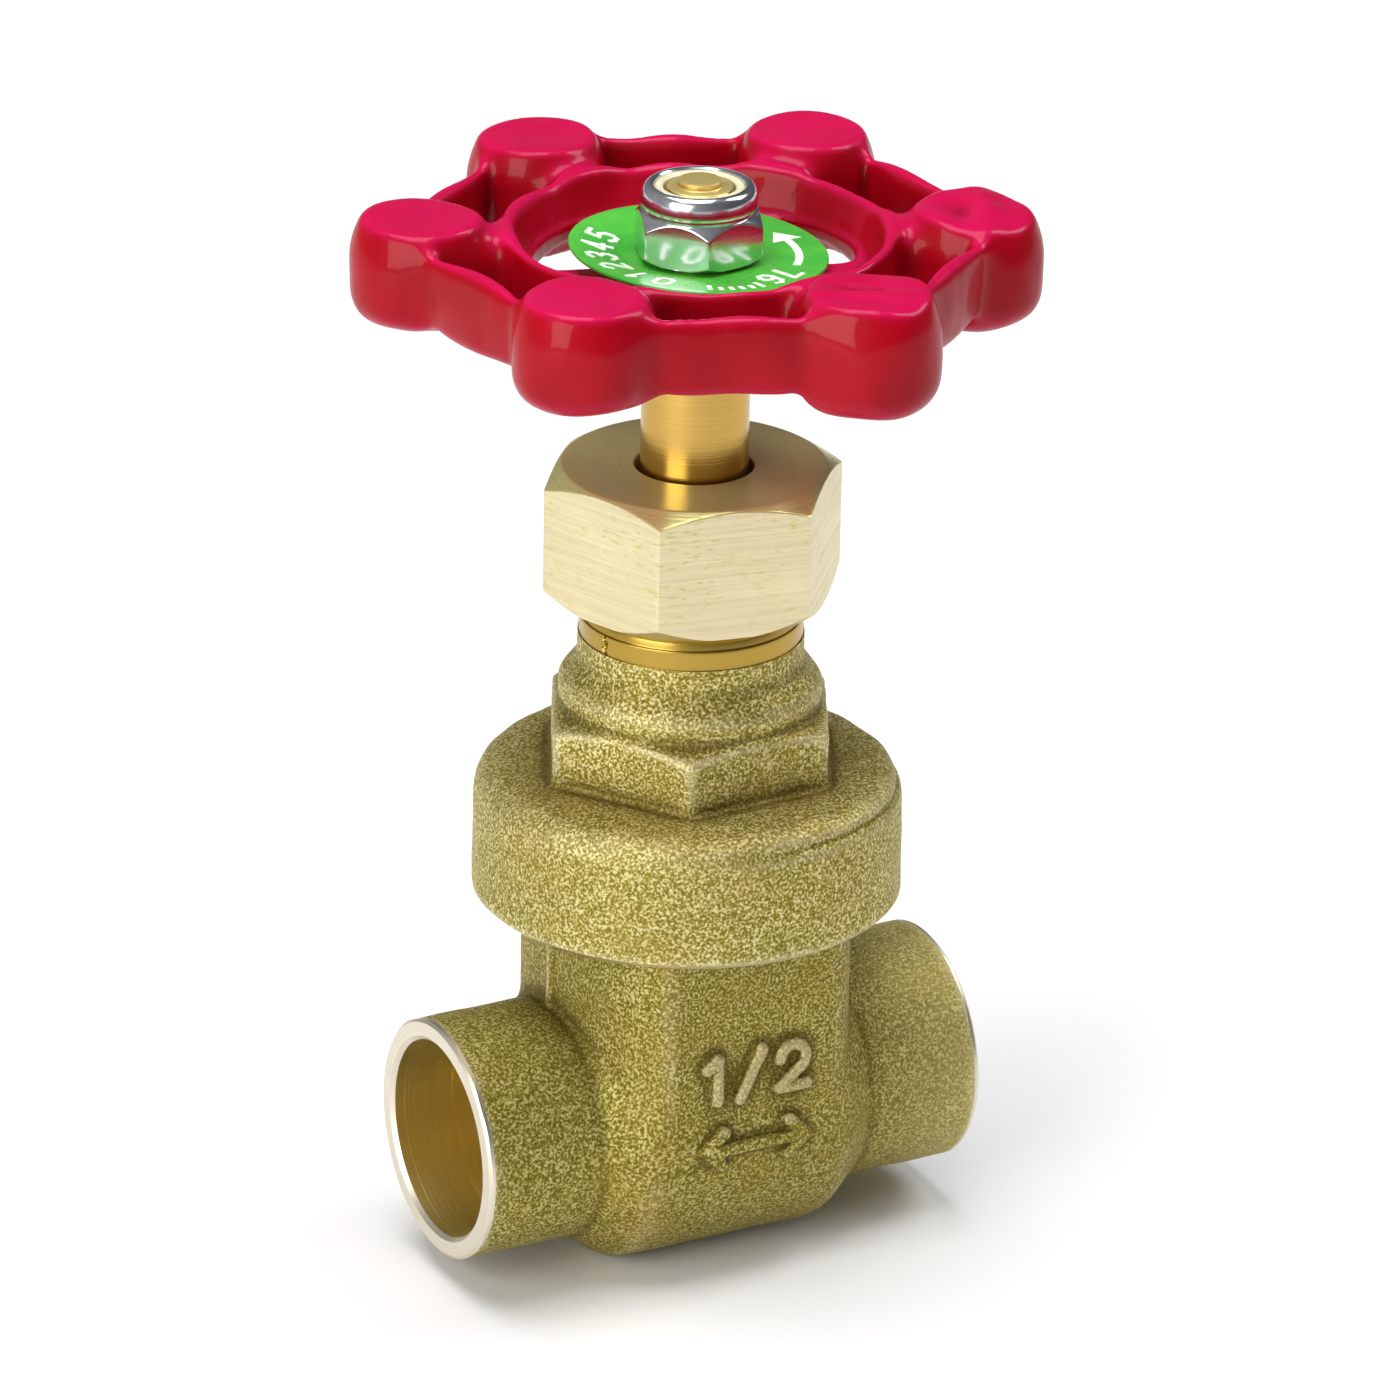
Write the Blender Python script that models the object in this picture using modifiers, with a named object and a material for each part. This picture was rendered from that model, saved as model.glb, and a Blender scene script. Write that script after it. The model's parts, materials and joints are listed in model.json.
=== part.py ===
"""Half-inch solder-end gate valve with a non-rising stem, as separate named solids.

Frame: metres, +Z up along the stem, X along the pipe, the flat front face towards -Y.
The origin is under the middle of the body, on the surface it stands on. The gate is shut.
"""

import math

import bmesh
import bpy
from mathutils import Matrix, Vector

MM = 0.001

# ---- driving dimensions, in millimetres -------------------------------------------------
AXIS_Z = 11.85           # pipe axis above the base
CLEAR = 0.3              # gap kept between neighbouring pieces
FINE_CLEAR = 0.15        # gap kept inside the small lock nut

# pipe run
END_X = 21.95            # half of the end-to-end length
SOCKET_OD_R = 9.65       # socket outer radius
SOCKET_ID_R = 7.975      # solder cup radius, for 15.88 mm tube
SOCKET_DEPTH = 12.7      # solder cup depth
WATERWAY_R = 6.35        # clear bore through the seats

# body
BODY_R = 12.15           # half depth of the body, and the radius of its rounded bottom
BODY_FRONT_HALF = 9.3    # half width of the body at its front and back faces
BODY_MID_HALF = 12.0     # half width of the body at the pipe's middle plane
BODY_CORNER_R = 2.0
BODY_FACE_Y = 12.2      # the flat faces stand just proud of the rounded bottom
BODY_FACE_BOTTOM = 0.7
BOSS_X = 11.75           # where the boss around each socket ends
BODY_TOP = 18.4          # top of the flat-sided part, above the pipe axis
NECK_R = 14.7            # the threaded neck inside the bonnet
NECK_TOP = 24.0
SLOT_HALF_X = 5.4        # gate chamber
SLOT_R = 9.4
SEAT_R = 7.9

# gate
WEDGE_SLOPE = math.tan(math.radians(2.5))
GATE_HALF = 4.45         # half thickness on the pipe axis
GATE_R = 8.4
GATE_BOSS_R = 4.9
GATE_TOP = 12.0
GATE_BORE_BOTTOM = -6.7
LEAD = 2.5               # stem thread, left hand
GATE_TRAVEL = 13.75      # five and a half turns

# bonnet
SKIRT_R = 17.0
SKIRT_IN_R = 15.05
SKIRT_BOTTOM = 18.1
SKIRT_SHOULDER = 27.3
BONNET_FACE = 25.3       # inner face that the gasket seals on
BONNET_CAVITY_R = 9.1
BONNET_CAVITY_TOP = 29.6
HEX_CORNER_R = 12.75
HEX_BASE = 28.6
HEX_TOP = 34.5
HEX_TURN = -117.0        # a corner of the bonnet's hexagon, degrees from +X
SHOULDER_R = 11.0
BONNET_NECK_R = 8.88
BOX_FLOOR = 32.5         # floor of the stuffing box
BOX_R = 6.6
BONNET_TOP = 47.0

# packing nut
NUT_CORNER_R = 12.18
NUT_TURN = -70.3
NUT_BOTTOM = 43.0
NUT_TOP = 53.6
NUT_CEILING = 50.2
NUT_HOLE_R = 4.65

# stem
STEM_R = 4.18
COLLAR_R = 6.2
COLLAR_Z = (33.7, 35.7)
STEM_END = 7.6           # lower end, above the pipe axis
THREAD_ROOT_R = 2.5
THREAD_CREST_R = 3.4
THREAD_START = 9.1       # height of the thread's first ridge
SQUARE_HALF = 2.6
TOP_THREAD_R = 2.65
STEM_TOP = 76.9

# handwheel
WHEEL_TURN = 38.65       # one lobe, degrees from +X
LOBE_RING_R = 21.35
LOBE_R = 5.5
LOBE_Z = (65.85, 74.35)
RIM_Z = (67.25, 73.4)
RIM_OUT = 21.55           # the rim bars run straight between lobes: distances from the axis
RIM_IN = 19.9
RING_OUT_R = 15.2
RING_IN_R = 13.2
FLOOR_Z = (67.4, 69.75)
HUB_R = 6.4
HUB_BOTTOM = 63.4
LABEL_R = 10.15
LABEL_Z = (70.05, 70.45)
LOCKNUT_Z = (70.75, 76.6)
LOCKNUT_CORNER_R = 5.3

# ---- scene ------------------------------------------------------------------------------
for old in list(bpy.data.objects):
    bpy.data.objects.remove(old, do_unlink=True)


def collection(name):
    made = bpy.data.collections.new(name)
    bpy.context.scene.collection.children.link(made)
    return made


PARTS = collection("gate_valve")
CUTTERS = collection("cutters")


def material(name, colour, roughness, metallic):
    made = bpy.data.materials.new(name)
    made.use_nodes = True
    shader = made.node_tree.nodes["Principled BSDF"]
    shader.inputs["Base Color"].default_value = (*colour, 1.0)
    shader.inputs["Roughness"].default_value = roughness
    shader.inputs["Metallic"].default_value = metallic
    return made


def adopt(obj, where):
    """Moves an object to one collection; a helper is left out of the model."""
    for held in list(obj.users_collection):
        held.objects.unlink(obj)
    where.objects.link(obj)
    if where is CUTTERS:
        obj.hide_render = True
        obj.display_type = "WIRE"
    return obj


def smooth(obj, degrees=35.0):
    obj.data.shade_smooth()
    obj.data.set_sharp_from_angle(angle=math.radians(degrees))
    return obj


def up(z):
    """Height above the base from a height above the pipe axis."""
    return (z + AXIS_Z) * MM


def turned(name, profile, where, segments=40, loop=False, along="Z", at=(0.0, 0.0, None)):
    """A solid turned about its own Z axis from (radius, height) pairs in millimetres.

    The pairs run down the outer side, top to bottom. loop closes a ring's profile.
    """
    mesh = bpy.data.meshes.new(name)
    points = [(r * MM, 0.0, h * MM) for r, h in profile]
    edges = [(i, i + 1) for i in range(len(points) - 1)]
    if loop:
        edges.append((len(points) - 1, 0))
    mesh.from_pydata(points, edges, [])
    obj = bpy.data.objects.new(name, mesh)
    adopt(obj, where)
    screw = obj.modifiers.new("turn", "SCREW")
    screw.steps = screw.render_steps = segments
    screw.use_merge_vertices = True
    screw.merge_threshold = 0.00001
    screw.use_smooth_shade = True
    x, y, z = at
    obj.location = (x * MM, y * MM, (AXIS_Z if z is None else z) * MM)
    if along == "X":
        obj.rotation_euler = (0.0, math.radians(90.0), 0.0)
    elif along == "-X":
        obj.rotation_euler = (0.0, math.radians(-90.0), 0.0)
    return obj


def plate(name, loops, low, high, where, along="Z", height=AXIS_Z):
    """A flat outline with holes, given thickness between two levels, as a mesh.

    along Z: outline in XY. along X: outline pairs are (Y, Z), thickness along X.
    """
    curve = bpy.data.curves.new(name, "CURVE")
    curve.dimensions = "2D"
    curve.fill_mode = "BOTH"
    curve.extrude = (high - low) * MM / 2
    for loop in loops:
        spline = curve.splines.new("POLY")
        spline.points.add(len(loop) - 1)
        for point, (x, y) in zip(spline.points, loop):
            point.co = (x * MM, y * MM, 0.0, 1.0)
        spline.use_cyclic_u = True
    guide = bpy.data.objects.new(name + "_outline", curve)
    bpy.context.scene.collection.objects.link(guide)
    bpy.context.view_layer.update()
    graph = bpy.context.evaluated_depsgraph_get()
    mesh = bpy.data.meshes.new_from_object(guide.evaluated_get(graph))
    bpy.data.objects.remove(guide, do_unlink=True)
    bpy.data.curves.remove(curve)
    mesh.name = name
    middle = (low + high) / 2
    if along == "Z":
        place = Matrix.Translation((0.0, 0.0, (middle + height) * MM))
    else:
        # outline x becomes Y, outline y becomes Z, thickness lies along X
        place = Matrix.Translation((middle * MM, 0.0, height * MM)) @ Matrix(
            ((0, 0, 1, 0), (1, 0, 0, 0), (0, 1, 0, 0), (0, 0, 0, 1))
        )
    build = bmesh.new()
    build.from_mesh(mesh)
    bmesh.ops.remove_doubles(build, verts=build.verts, dist=0.000001)
    bmesh.ops.transform(build, matrix=place, verts=build.verts)
    bmesh.ops.recalc_face_normals(build, faces=build.faces)
    build.to_mesh(mesh)
    build.free()
    mesh.materials.clear()
    return link(name, mesh, where)


def link(name, mesh, where):
    obj = bpy.data.objects.new(name, mesh)
    return adopt(obj, where)


def block(name, low, high, where):
    """A box between two corners, in millimetres above the base."""
    bpy.ops.mesh.primitive_cube_add(size=1.0)
    obj = bpy.context.active_object
    obj.name = name
    size = [(b - a) * MM for a, b in zip(low, high)]
    centre = [(a + b) / 2 * MM for a, b in zip(low, high)]
    obj.data.transform(Matrix.Diagonal((*size, 1.0)))
    obj.location = centre
    return adopt(obj, where)


def rod(name, radius, low, high, where, at=(0.0, 0.0), vertices=32, turn=0.0):
    """An upright cylinder between two heights above the pipe axis."""
    bpy.ops.mesh.primitive_cylinder_add(
        vertices=vertices, radius=radius * MM, depth=(high - low) * MM
    )
    obj = bpy.context.active_object
    obj.name = name
    obj.rotation_euler = (0.0, 0.0, math.radians(turn))
    obj.location = (at[0] * MM, at[1] * MM, up((low + high) / 2))
    return adopt(obj, where)


def join(obj, other, how):
    made = obj.modifiers.new(f"{how.lower()} {other.name}", "BOOLEAN")
    made.operation = how
    made.solver = "EXACT"
    made.object = other
    return obj


def settle(obj):
    """Applies an object's modifiers, so that its shape can be an operand or be shaded."""
    bpy.context.view_layer.update()
    graph = bpy.context.evaluated_depsgraph_get()
    mesh = bpy.data.meshes.new_from_object(obj.evaluated_get(graph))
    obj.modifiers.clear()
    old = obj.data
    obj.data = mesh
    mesh.name = obj.name
    bpy.data.meshes.remove(old)
    return obj


def arc(cx, cy, r, start, end, steps):
    return [
        (
            cx + r * math.cos(math.radians(start + (end - start) * i / steps)),
            cy + r * math.sin(math.radians(start + (end - start) * i / steps)),
        )
        for i in range(steps + 1)
    ]


def ring(r, steps, turn=0.0):
    return arc(0.0, 0.0, r, turn, turn + 360.0, steps)[:-1]


def hexagon(r, turn):
    return ring(r, 6, turn)


def rounded_hexagon(r, turn, corner, steps=3):
    """A hexagon whose corners, at radius r before rounding, have a small radius."""
    reach = r - corner / math.cos(math.radians(30.0))
    loop = []
    for k in range(6):
        a = turn + 60.0 * k
        cx, cy = reach * math.cos(math.radians(a)), reach * math.sin(math.radians(a))
        loop += arc(cx, cy, corner, a - 30.0, a + 30.0, steps)
    return loop


def helix_ridge(name, root, crest, root_half, crest_half, low, high, where, steps=12, phase=4.0):
    """A left-hand thread ridge: a trapezoid carried round and down a helix, ends closed."""
    build = bmesh.new()
    turns = (high - low) / LEAD
    count = int(round(turns * steps))
    before = None
    for i in range(count + 1):
        angle = -2.0 * math.pi * i / steps + math.radians(phase)
        z = low + LEAD * i / steps
        c, s = math.cos(angle), math.sin(angle)
        section = [
            build.verts.new((r * c * MM, r * s * MM, up(z + dz)))
            for r, dz in (
                (root, -root_half),
                (crest, -crest_half),
                (crest, crest_half),
                (root, root_half),
            )
        ]
        if before is None:
            build.faces.new(section)
        else:
            for k in range(4):
                build.faces.new(
                    (before[k], section[k], section[(k + 1) % 4], before[(k + 1) % 4])
                )
        before = section
    build.faces.new(list(reversed(before)))
    bmesh.ops.recalc_face_normals(build, faces=build.faces)
    mesh = bpy.data.meshes.new(name)
    build.to_mesh(mesh)
    build.free()
    return link(name, mesh, where)


def finish(obj, finish_material, degrees=35.0):
    obj.data.materials.clear()
    obj.data.materials.append(finish_material)
    smooth(obj, degrees)
    return obj


# ---- finishes ---------------------------------------------------------------------------
CAST_BRASS = material("cast_brass", (0.46, 0.40, 0.17), 0.45, 1.0)
MACHINED_BRASS = material("machined_brass", (0.83, 0.68, 0.30), 0.25, 1.0)
RED_PAINT = material("red_paint", (0.62, 0.02, 0.07), 0.18, 0.0)
GREEN_PRINT = material("green_print", (0.06, 0.50, 0.09), 0.30, 0.0)
PLATED_STEEL = material("plated_steel", (0.78, 0.79, 0.80), 0.12, 1.0)
NYLON = material("nylon", (0.80, 0.76, 0.66), 0.45, 0.0)
PACKING = material("graphite_packing", (0.05, 0.05, 0.055), 0.75, 0.0)
GASKET = material("fibre_gasket", (0.30, 0.12, 0.08), 0.80, 0.0)

# ---- body -------------------------------------------------------------------------------


def body_plan():
    """The outline from above: flat front and back, sides that bulge to the pipe's middle."""
    side = []
    steps = 6
    reach = BODY_FACE_Y - BODY_CORNER_R
    # the side from the front corner round to the back corner, at +X
    for i in range(-steps, steps + 1):
        t = i / steps
        y = t * reach
        bulge = BODY_MID_HALF - (BODY_MID_HALF - BODY_FRONT_HALF) * (
            0.25 * abs(t) + 0.75 * abs(t) ** 3
        )
        side.append((bulge, y))
    cx = BODY_FRONT_HALF - BODY_CORNER_R
    right = arc(cx, -reach, BODY_CORNER_R, -90.0, -12.0, 4) + side[1:-1]
    right += arc(cx, reach, BODY_CORNER_R, 12.0, 90.0, 4)
    left = [(-x, -y) for x, y in right]
    return right + left


shell = plate("body", [body_plan()], BODY_FACE_BOTTOM, BODY_TOP, PARTS)

# the rounded bottom and the two sockets, turned about the pipe axis
run_profile = [
    (0.0, END_X),
    (SOCKET_OD_R - 0.25, END_X),
    (SOCKET_OD_R, END_X - 0.25),
    (SOCKET_OD_R, BOSS_X + 0.35),
    (SOCKET_OD_R + 0.35, BOSS_X - 0.15),
    (BODY_R - 1.15, BODY_FRONT_HALF + 0.75),
    (BODY_R - 0.35, BODY_FRONT_HALF + 0.05),
    (BODY_R, BODY_FRONT_HALF - 0.8),
]
run_profile = run_profile + [(r, -x) for r, x in reversed(run_profile)]
run = settle(turned("run_form", run_profile, CUTTERS, 44, along="X"))
# the turned form is kept below the top of the flat-sided part, and gets a narrow flat base
join(shell, run, "UNION")
base_cut = block(
    "base_cut", (-30.0, -30.0, -30.0), (30.0, 30.0, 0.0), CUTTERS
)
join(shell, base_cut, "DIFFERENCE")
neck = turned(
    "neck_form",
    [
        (0.0, NECK_TOP),
        (NECK_R - 0.7, NECK_TOP),
        (NECK_R, NECK_TOP - 0.7),
        (NECK_R, BODY_TOP + 0.5),
        (NECK_R - 1.2, BODY_TOP - 0.7),
        (0.0, BODY_TOP - 0.7),
    ],
    CUTTERS,
)
join(shell, neck, "UNION")


def chamber_outline(r, top, steps=14):
    return arc(0.0, 0.0, r, 180.0, 360.0, steps) + [(r, top), (-r, top)]


slot = plate(
    "chamber_cut",
    [chamber_outline(SLOT_R, NECK_TOP + 1.0)],
    -SLOT_HALF_X,
    SLOT_HALF_X,
    CUTTERS,
    along="X",
)
join(shell, slot, "DIFFERENCE")
join(shell, turned("mouth_cut", [(0.0, NECK_TOP + 1.0), (10.6, NECK_TOP + 1.0), (10.6, 17.5), (9.4, 16.3), (0.0, 16.3)], CUTTERS, 28), "DIFFERENCE")
for side in (-1, 1):
    seat = turned(
        f"seat_{'left' if side < 0 else 'right'}",
        [(0.0, 6.2), (SEAT_R, 6.2), (SEAT_R, 4.2), (0.0, 4.2)],
        CUTTERS,
        24,
        along="X" if side > 0 else "-X",
    )
    join(shell, seat, "UNION")

def wedge_outline(gap, low, high):
    """The gate's faces seen along Y: (X, Z) pairs, wider at the top."""
    a = GATE_HALF + gap
    return [
        (-(a + WEDGE_SLOPE * low), low),
        (a + WEDGE_SLOPE * low, low),
        (a + WEDGE_SLOPE * high, high),
        (-(a + WEDGE_SLOPE * high), high),
    ]


def wedge(name, gap, low, high, half_y, where):
    """A wedge-shaped bar along Y, from its outline in XZ."""
    obj = plate(name, [wedge_outline(gap, low, high)], -half_y, half_y, where, height=0.0)
    # outline (X, Z) stands up: its thickness turns to lie along Y
    obj.data.transform(Matrix.Rotation(math.radians(90.0), 4, "X"))
    obj.data.transform(Matrix.Translation((0.0, 0.0, AXIS_Z * MM)))
    return obj


seat_face = wedge("seat_face_cut", CLEAR, -9.5, 9.5, 9.5, CUTTERS)
seat_face_round = settle(turned("seat_face_round", [(0.0, 7.0), (8.7, 7.0), (8.7, -7.0), (0.0, -7.0)], CUTTERS, 28, along="X"))
join(seat_face, seat_face_round, "INTERSECT")
join(shell, settle(seat_face), "DIFFERENCE")
# guide ribs on the chamber's front and back walls
for side in (-1, 1):
    ys = sorted((side * 7.95, side * (SLOT_R + 0.8)))
    rib = block(
        f"rib_{'front' if side < 0 else 'back'}",
        (-1.0, ys[0], AXIS_Z - 2.0),
        (1.0, ys[1], AXIS_Z + 17.0),
        CUTTERS,
    )
    join(shell, rib, "UNION")
bore = turned(
    "bore_cut",
    [(0.0, END_X + 2), (SOCKET_ID_R + 2.35, END_X + 2), (SOCKET_ID_R, END_X - 0.35), (SOCKET_ID_R, END_X - SOCKET_DEPTH), (WATERWAY_R, END_X - SOCKET_DEPTH), (WATERWAY_R, -(END_X - SOCKET_DEPTH)), (SOCKET_ID_R, -(END_X - SOCKET_DEPTH)), (SOCKET_ID_R, -(END_X - 0.35)), (SOCKET_ID_R + 2.35, -(END_X + 2)), (0.0, -(END_X + 2))],
    CUTTERS,
    32,
    along="X",
)
join(shell, bore, "DIFFERENCE")
finish(settle(shell), CAST_BRASS)

# ---- gate -------------------------------------------------------------------------------
gate = wedge("gate", 0.0, -8.6, 8.6, 8.6, PARTS)
gate_round = settle(turned("gate_round", [(0.0, 7.0), (GATE_R, 7.0), (GATE_R, -7.0), (0.0, -7.0)], CUTTERS, 32, along="X"))
join(gate, gate_round, "INTERSECT")
join(gate, turned("gate_boss", [(0.0, GATE_TOP), (GATE_BOSS_R - 0.5, GATE_TOP), (GATE_BOSS_R, GATE_TOP - 0.5), (GATE_BOSS_R, 3.0), (0.0, 3.0)], CUTTERS, 24), "UNION")
join(gate, turned("gate_bore", [(0.0, GATE_TOP + 1.0), (THREAD_ROOT_R + CLEAR + 1.4, GATE_TOP + 1.0), (THREAD_ROOT_R + CLEAR, GATE_TOP - 0.4), (THREAD_ROOT_R + CLEAR, GATE_BORE_BOTTOM), (0.0, GATE_BORE_BOTTOM)], CUTTERS, 16), "DIFFERENCE")
gate_thread = helix_ridge(
    "gate_thread_cut", THREAD_ROOT_R, THREAD_CREST_R + CLEAR, 0.95, 0.62, THREAD_START - 6 * LEAD, GATE_TOP + 1.2, CUTTERS
)
join(gate, gate_thread, "DIFFERENCE")
for side in (-1, 1):
    ys = sorted((side * (7.95 - CLEAR), side * (GATE_R + 1.0)))
    groove = block(f"groove_{'front' if side < 0 else 'back'}", (-1.35, ys[0], AXIS_Z - 10.0), (1.35, ys[1], AXIS_Z + 10.0), CUTTERS)
    join(gate, groove, "DIFFERENCE")
finish(settle(gate), MACHINED_BRASS)

# ---- bonnet -----------------------------------------------------------------------------
bonnet = turned(
    "bonnet",
    [
        (0.0, BONNET_TOP),
        (7.9, BONNET_TOP),
        (8.4, BONNET_TOP - 0.5),
        (8.4, 43.4),
        (BONNET_NECK_R, 42.9),
        (BONNET_NECK_R, 36.9),
        (9.25, 36.2),
        (10.2, 35.55),
        (10.8, 34.9),
        (SHOULDER_R, 34.1),
        (SHOULDER_R, 29.0),
        (13.6, 28.85),
        (15.9, 28.2),
        (16.7, 27.85),
        (SKIRT_R - 0.12, SKIRT_SHOULDER),
        (SKIRT_R, SKIRT_BOTTOM),
        (SKIRT_IN_R + 0.5, SKIRT_BOTTOM),
        (SKIRT_IN_R, SKIRT_BOTTOM + 0.5),
        (SKIRT_IN_R, BONNET_FACE),
        (BONNET_CAVITY_R, BONNET_FACE),
        (BONNET_CAVITY_R, BONNET_CAVITY_TOP - 0.8),
        (BONNET_CAVITY_R - 0.8, BONNET_CAVITY_TOP),
        (0.0, BONNET_CAVITY_TOP),
    ],
    PARTS,
    44,
)
hex_form = plate("bonnet_hex", [rounded_hexagon(HEX_CORNER_R, HEX_TURN, 1.2)], 28.0, HEX_TOP, CUTTERS)
hex_cone = settle(turned("bonnet_hex_cone", [(0.0, HEX_TOP + 0.1), (SHOULDER_R - 0.6, HEX_TOP + 0.1), (HEX_CORNER_R + 0.5, HEX_TOP - 1.3), (HEX_CORNER_R + 0.5, 27.0), (0.0, 27.0)], CUTTERS, 36))
join(hex_form, hex_cone, "INTERSECT")
settle(hex_form)
join(bonnet, hex_form, "UNION")
join(bonnet, turned("stuffing_box_cut", [(0.0, BONNET_TOP + 1), (BOX_R, BONNET_TOP + 1), (BOX_R, BOX_FLOOR), (THREAD_CREST_R + 0.45, BOX_FLOOR), (THREAD_CREST_R + 0.45, BONNET_CAVITY_TOP - 2), (0.0, BONNET_CAVITY_TOP - 2)], CUTTERS, 28), "DIFFERENCE")
finish(settle(bonnet), CAST_BRASS)


def collar(name, inner, outer, low, high, finish_material, segments=28, ease=0.15):
    """A plain ring with eased edges."""
    profile = [
        (outer - ease, high),
        (outer, high - ease),
        (outer, low + ease),
        (outer - ease, low),
        (inner, low),
        (inner, high),
    ]
    return finish(settle(turned(name, profile, PARTS, segments, loop=True)), finish_material)


collar("bonnet_gasket", 11.2, 14.0, NECK_TOP + CLEAR, BONNET_FACE - CLEAR, GASKET, 32, 0.05)
collar("stem_thrust_washer", STEM_R + CLEAR, BOX_R - CLEAR, BOX_FLOOR + CLEAR, BOX_FLOOR + 0.9, MACHINED_BRASS, 28, 0.1)
collar("packing_ring_lower", STEM_R + CLEAR, BOX_R - CLEAR, 36.0, 38.0, PACKING, 28)
collar("packing_ring_middle", STEM_R + CLEAR, BOX_R - CLEAR, 38.3, 40.3, PACKING, 28)
collar("packing_ring_upper", STEM_R + CLEAR, BOX_R - CLEAR, 40.6, 42.6, PACKING, 28)
gland = turned(
    "packing_gland",
    [
        (7.6, 49.9),
        (7.75, 49.75),
        (7.75, 47.9),
        (7.6, 47.75),
        (BOX_R - CLEAR, 47.75),
        (BOX_R - CLEAR, 42.9),
        (STEM_R + CLEAR, 42.9),
        (STEM_R + CLEAR, 49.9),
    ],
    PARTS,
    28,
    loop=True,
)
finish(settle(gland), MACHINED_BRASS)

# ---- packing nut ------------------------------------------------------------------------
nut = plate("packing_nut", [hexagon(NUT_CORNER_R, NUT_TURN)], NUT_BOTTOM, NUT_TOP, PARTS)
nut_cone = settle(
    turned(
        "packing_nut_cone",
        [
            (0.0, NUT_TOP + 0.01),
            (10.3, NUT_TOP + 0.01),
            (NUT_CORNER_R + 0.4, NUT_TOP - 1.3),
            (NUT_CORNER_R + 0.4, NUT_BOTTOM + 2.2),
            (10.2, NUT_BOTTOM - 0.01),
            (0.0, NUT_BOTTOM - 0.01),
        ],
        CUTTERS,
        36,
    )
)
join(nut, nut_cone, "INTERSECT")
join(nut, turned("packing_nut_bore", [(0.0, NUT_CEILING), (8.7, NUT_CEILING), (8.7, 43.7), (9.2, 43.2), (9.2, NUT_BOTTOM - 1), (0.0, NUT_BOTTOM - 1)], CUTTERS, 32), "DIFFERENCE")
join(nut, turned("packing_nut_hole", [(0.0, NUT_TOP + 1), (NUT_HOLE_R, NUT_TOP + 1), (NUT_HOLE_R, NUT_CEILING - 1), (0.0, NUT_CEILING - 1)], CUTTERS, 24), "DIFFERENCE")
finish(settle(nut), MACHINED_BRASS, 20.0)

# ---- stem -------------------------------------------------------------------------------
stem = turned(
    "stem",
    [
        (0.0, STEM_TOP),
        (2.2, STEM_TOP),
        (TOP_THREAD_R, STEM_TOP - 0.45),
        (TOP_THREAD_R, 69.9),
        (SQUARE_HALF - 0.2, 69.9),
        (SQUARE_HALF - 0.2, 63.0),
        (STEM_R, 63.0),
        (STEM_R, COLLAR_Z[1]),
        (COLLAR_R, COLLAR_Z[1]),
        (COLLAR_R, COLLAR_Z[0]),
        (THREAD_CREST_R, COLLAR_Z[0]),
        (THREAD_CREST_R, 28.8),
        (THREAD_ROOT_R, 28.0),
        (THREAD_ROOT_R, STEM_END + 0.5),
        (THREAD_ROOT_R - 0.5, STEM_END),
        (0.0, STEM_END),
    ],
    PARTS,
    24,
)
stem_thread = helix_ridge(
    "stem_thread", THREAD_ROOT_R - 0.2, THREAD_CREST_R, 0.62, 0.32, THREAD_START, 28.6, CUTTERS
)
join(stem, stem_thread, "UNION")
square = block("stem_square", (-SQUARE_HALF, -SQUARE_HALF, AXIS_Z + 62.6), (SQUARE_HALF, SQUARE_HALF, AXIS_Z + 69.75), CUTTERS)
square.rotation_euler = (0.0, 0.0, math.radians(WHEEL_TURN))
join(stem, square, "UNION")
finish(settle(stem), MACHINED_BRASS)

# ---- handwheel --------------------------------------------------------------------------


def polar(r, degrees):
    return (r * math.cos(math.radians(degrees)), r * math.sin(math.radians(degrees)))


def along_bar(distance, offset, middle):
    """A point on the straight rim bar whose middle lies at this angle."""
    c, q = math.cos(math.radians(middle)), math.sin(math.radians(middle))
    return (distance * c - offset * q, distance * q + offset * c)


def rim_outline():
    """The outer outline: straight bars, a little fuller at the middle, between the lobes."""
    loop = []
    for k in range(6):
        middle = WHEEL_TURN + 30.0 + 60.0 * k
        for offset in (-9.5, -6.5, -3.2, 0.0, 3.2, 6.5, 9.5):
            swell = 0.25 * (1.0 - (offset / 9.5) ** 2)
            loop.append(along_bar(RIM_OUT - 0.25 + swell, offset, middle))
    return loop


def pocket(middle):
    """A gap between a rim bar and the inner ring, between two lobes, corners eased."""
    inner = [polar(RING_OUT_R, middle + a) for a in (-17.0, -8.5, 0.0, 8.5, 17.0)]
    outer = [along_bar(RIM_IN, offset, middle) for offset in (4.9, 0.0, -4.9)]
    mid = (RING_OUT_R + RIM_IN) / 2
    return (
        inner
        + [along_bar(mid, 5.9, middle)]
        + outer
        + [along_bar(mid, -5.9, middle)]
    )


def kidney(middle):
    """One of the three openings in the wheel's floor, between the hub and the inner ring."""
    outer = [polar(12.7, middle + a) for a in (-23.0, -11.5, 0.0, 11.5, 23.0)]
    inner = [polar(7.2, middle + a) for a in (20.0, 0.0, -20.0)]
    return (
        outer
        + [polar(12.0, middle + 27.0), polar(8.4, middle + 26.0)]
        + inner
        + [polar(8.4, middle - 26.0), polar(12.0, middle - 27.0)]
    )


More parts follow.
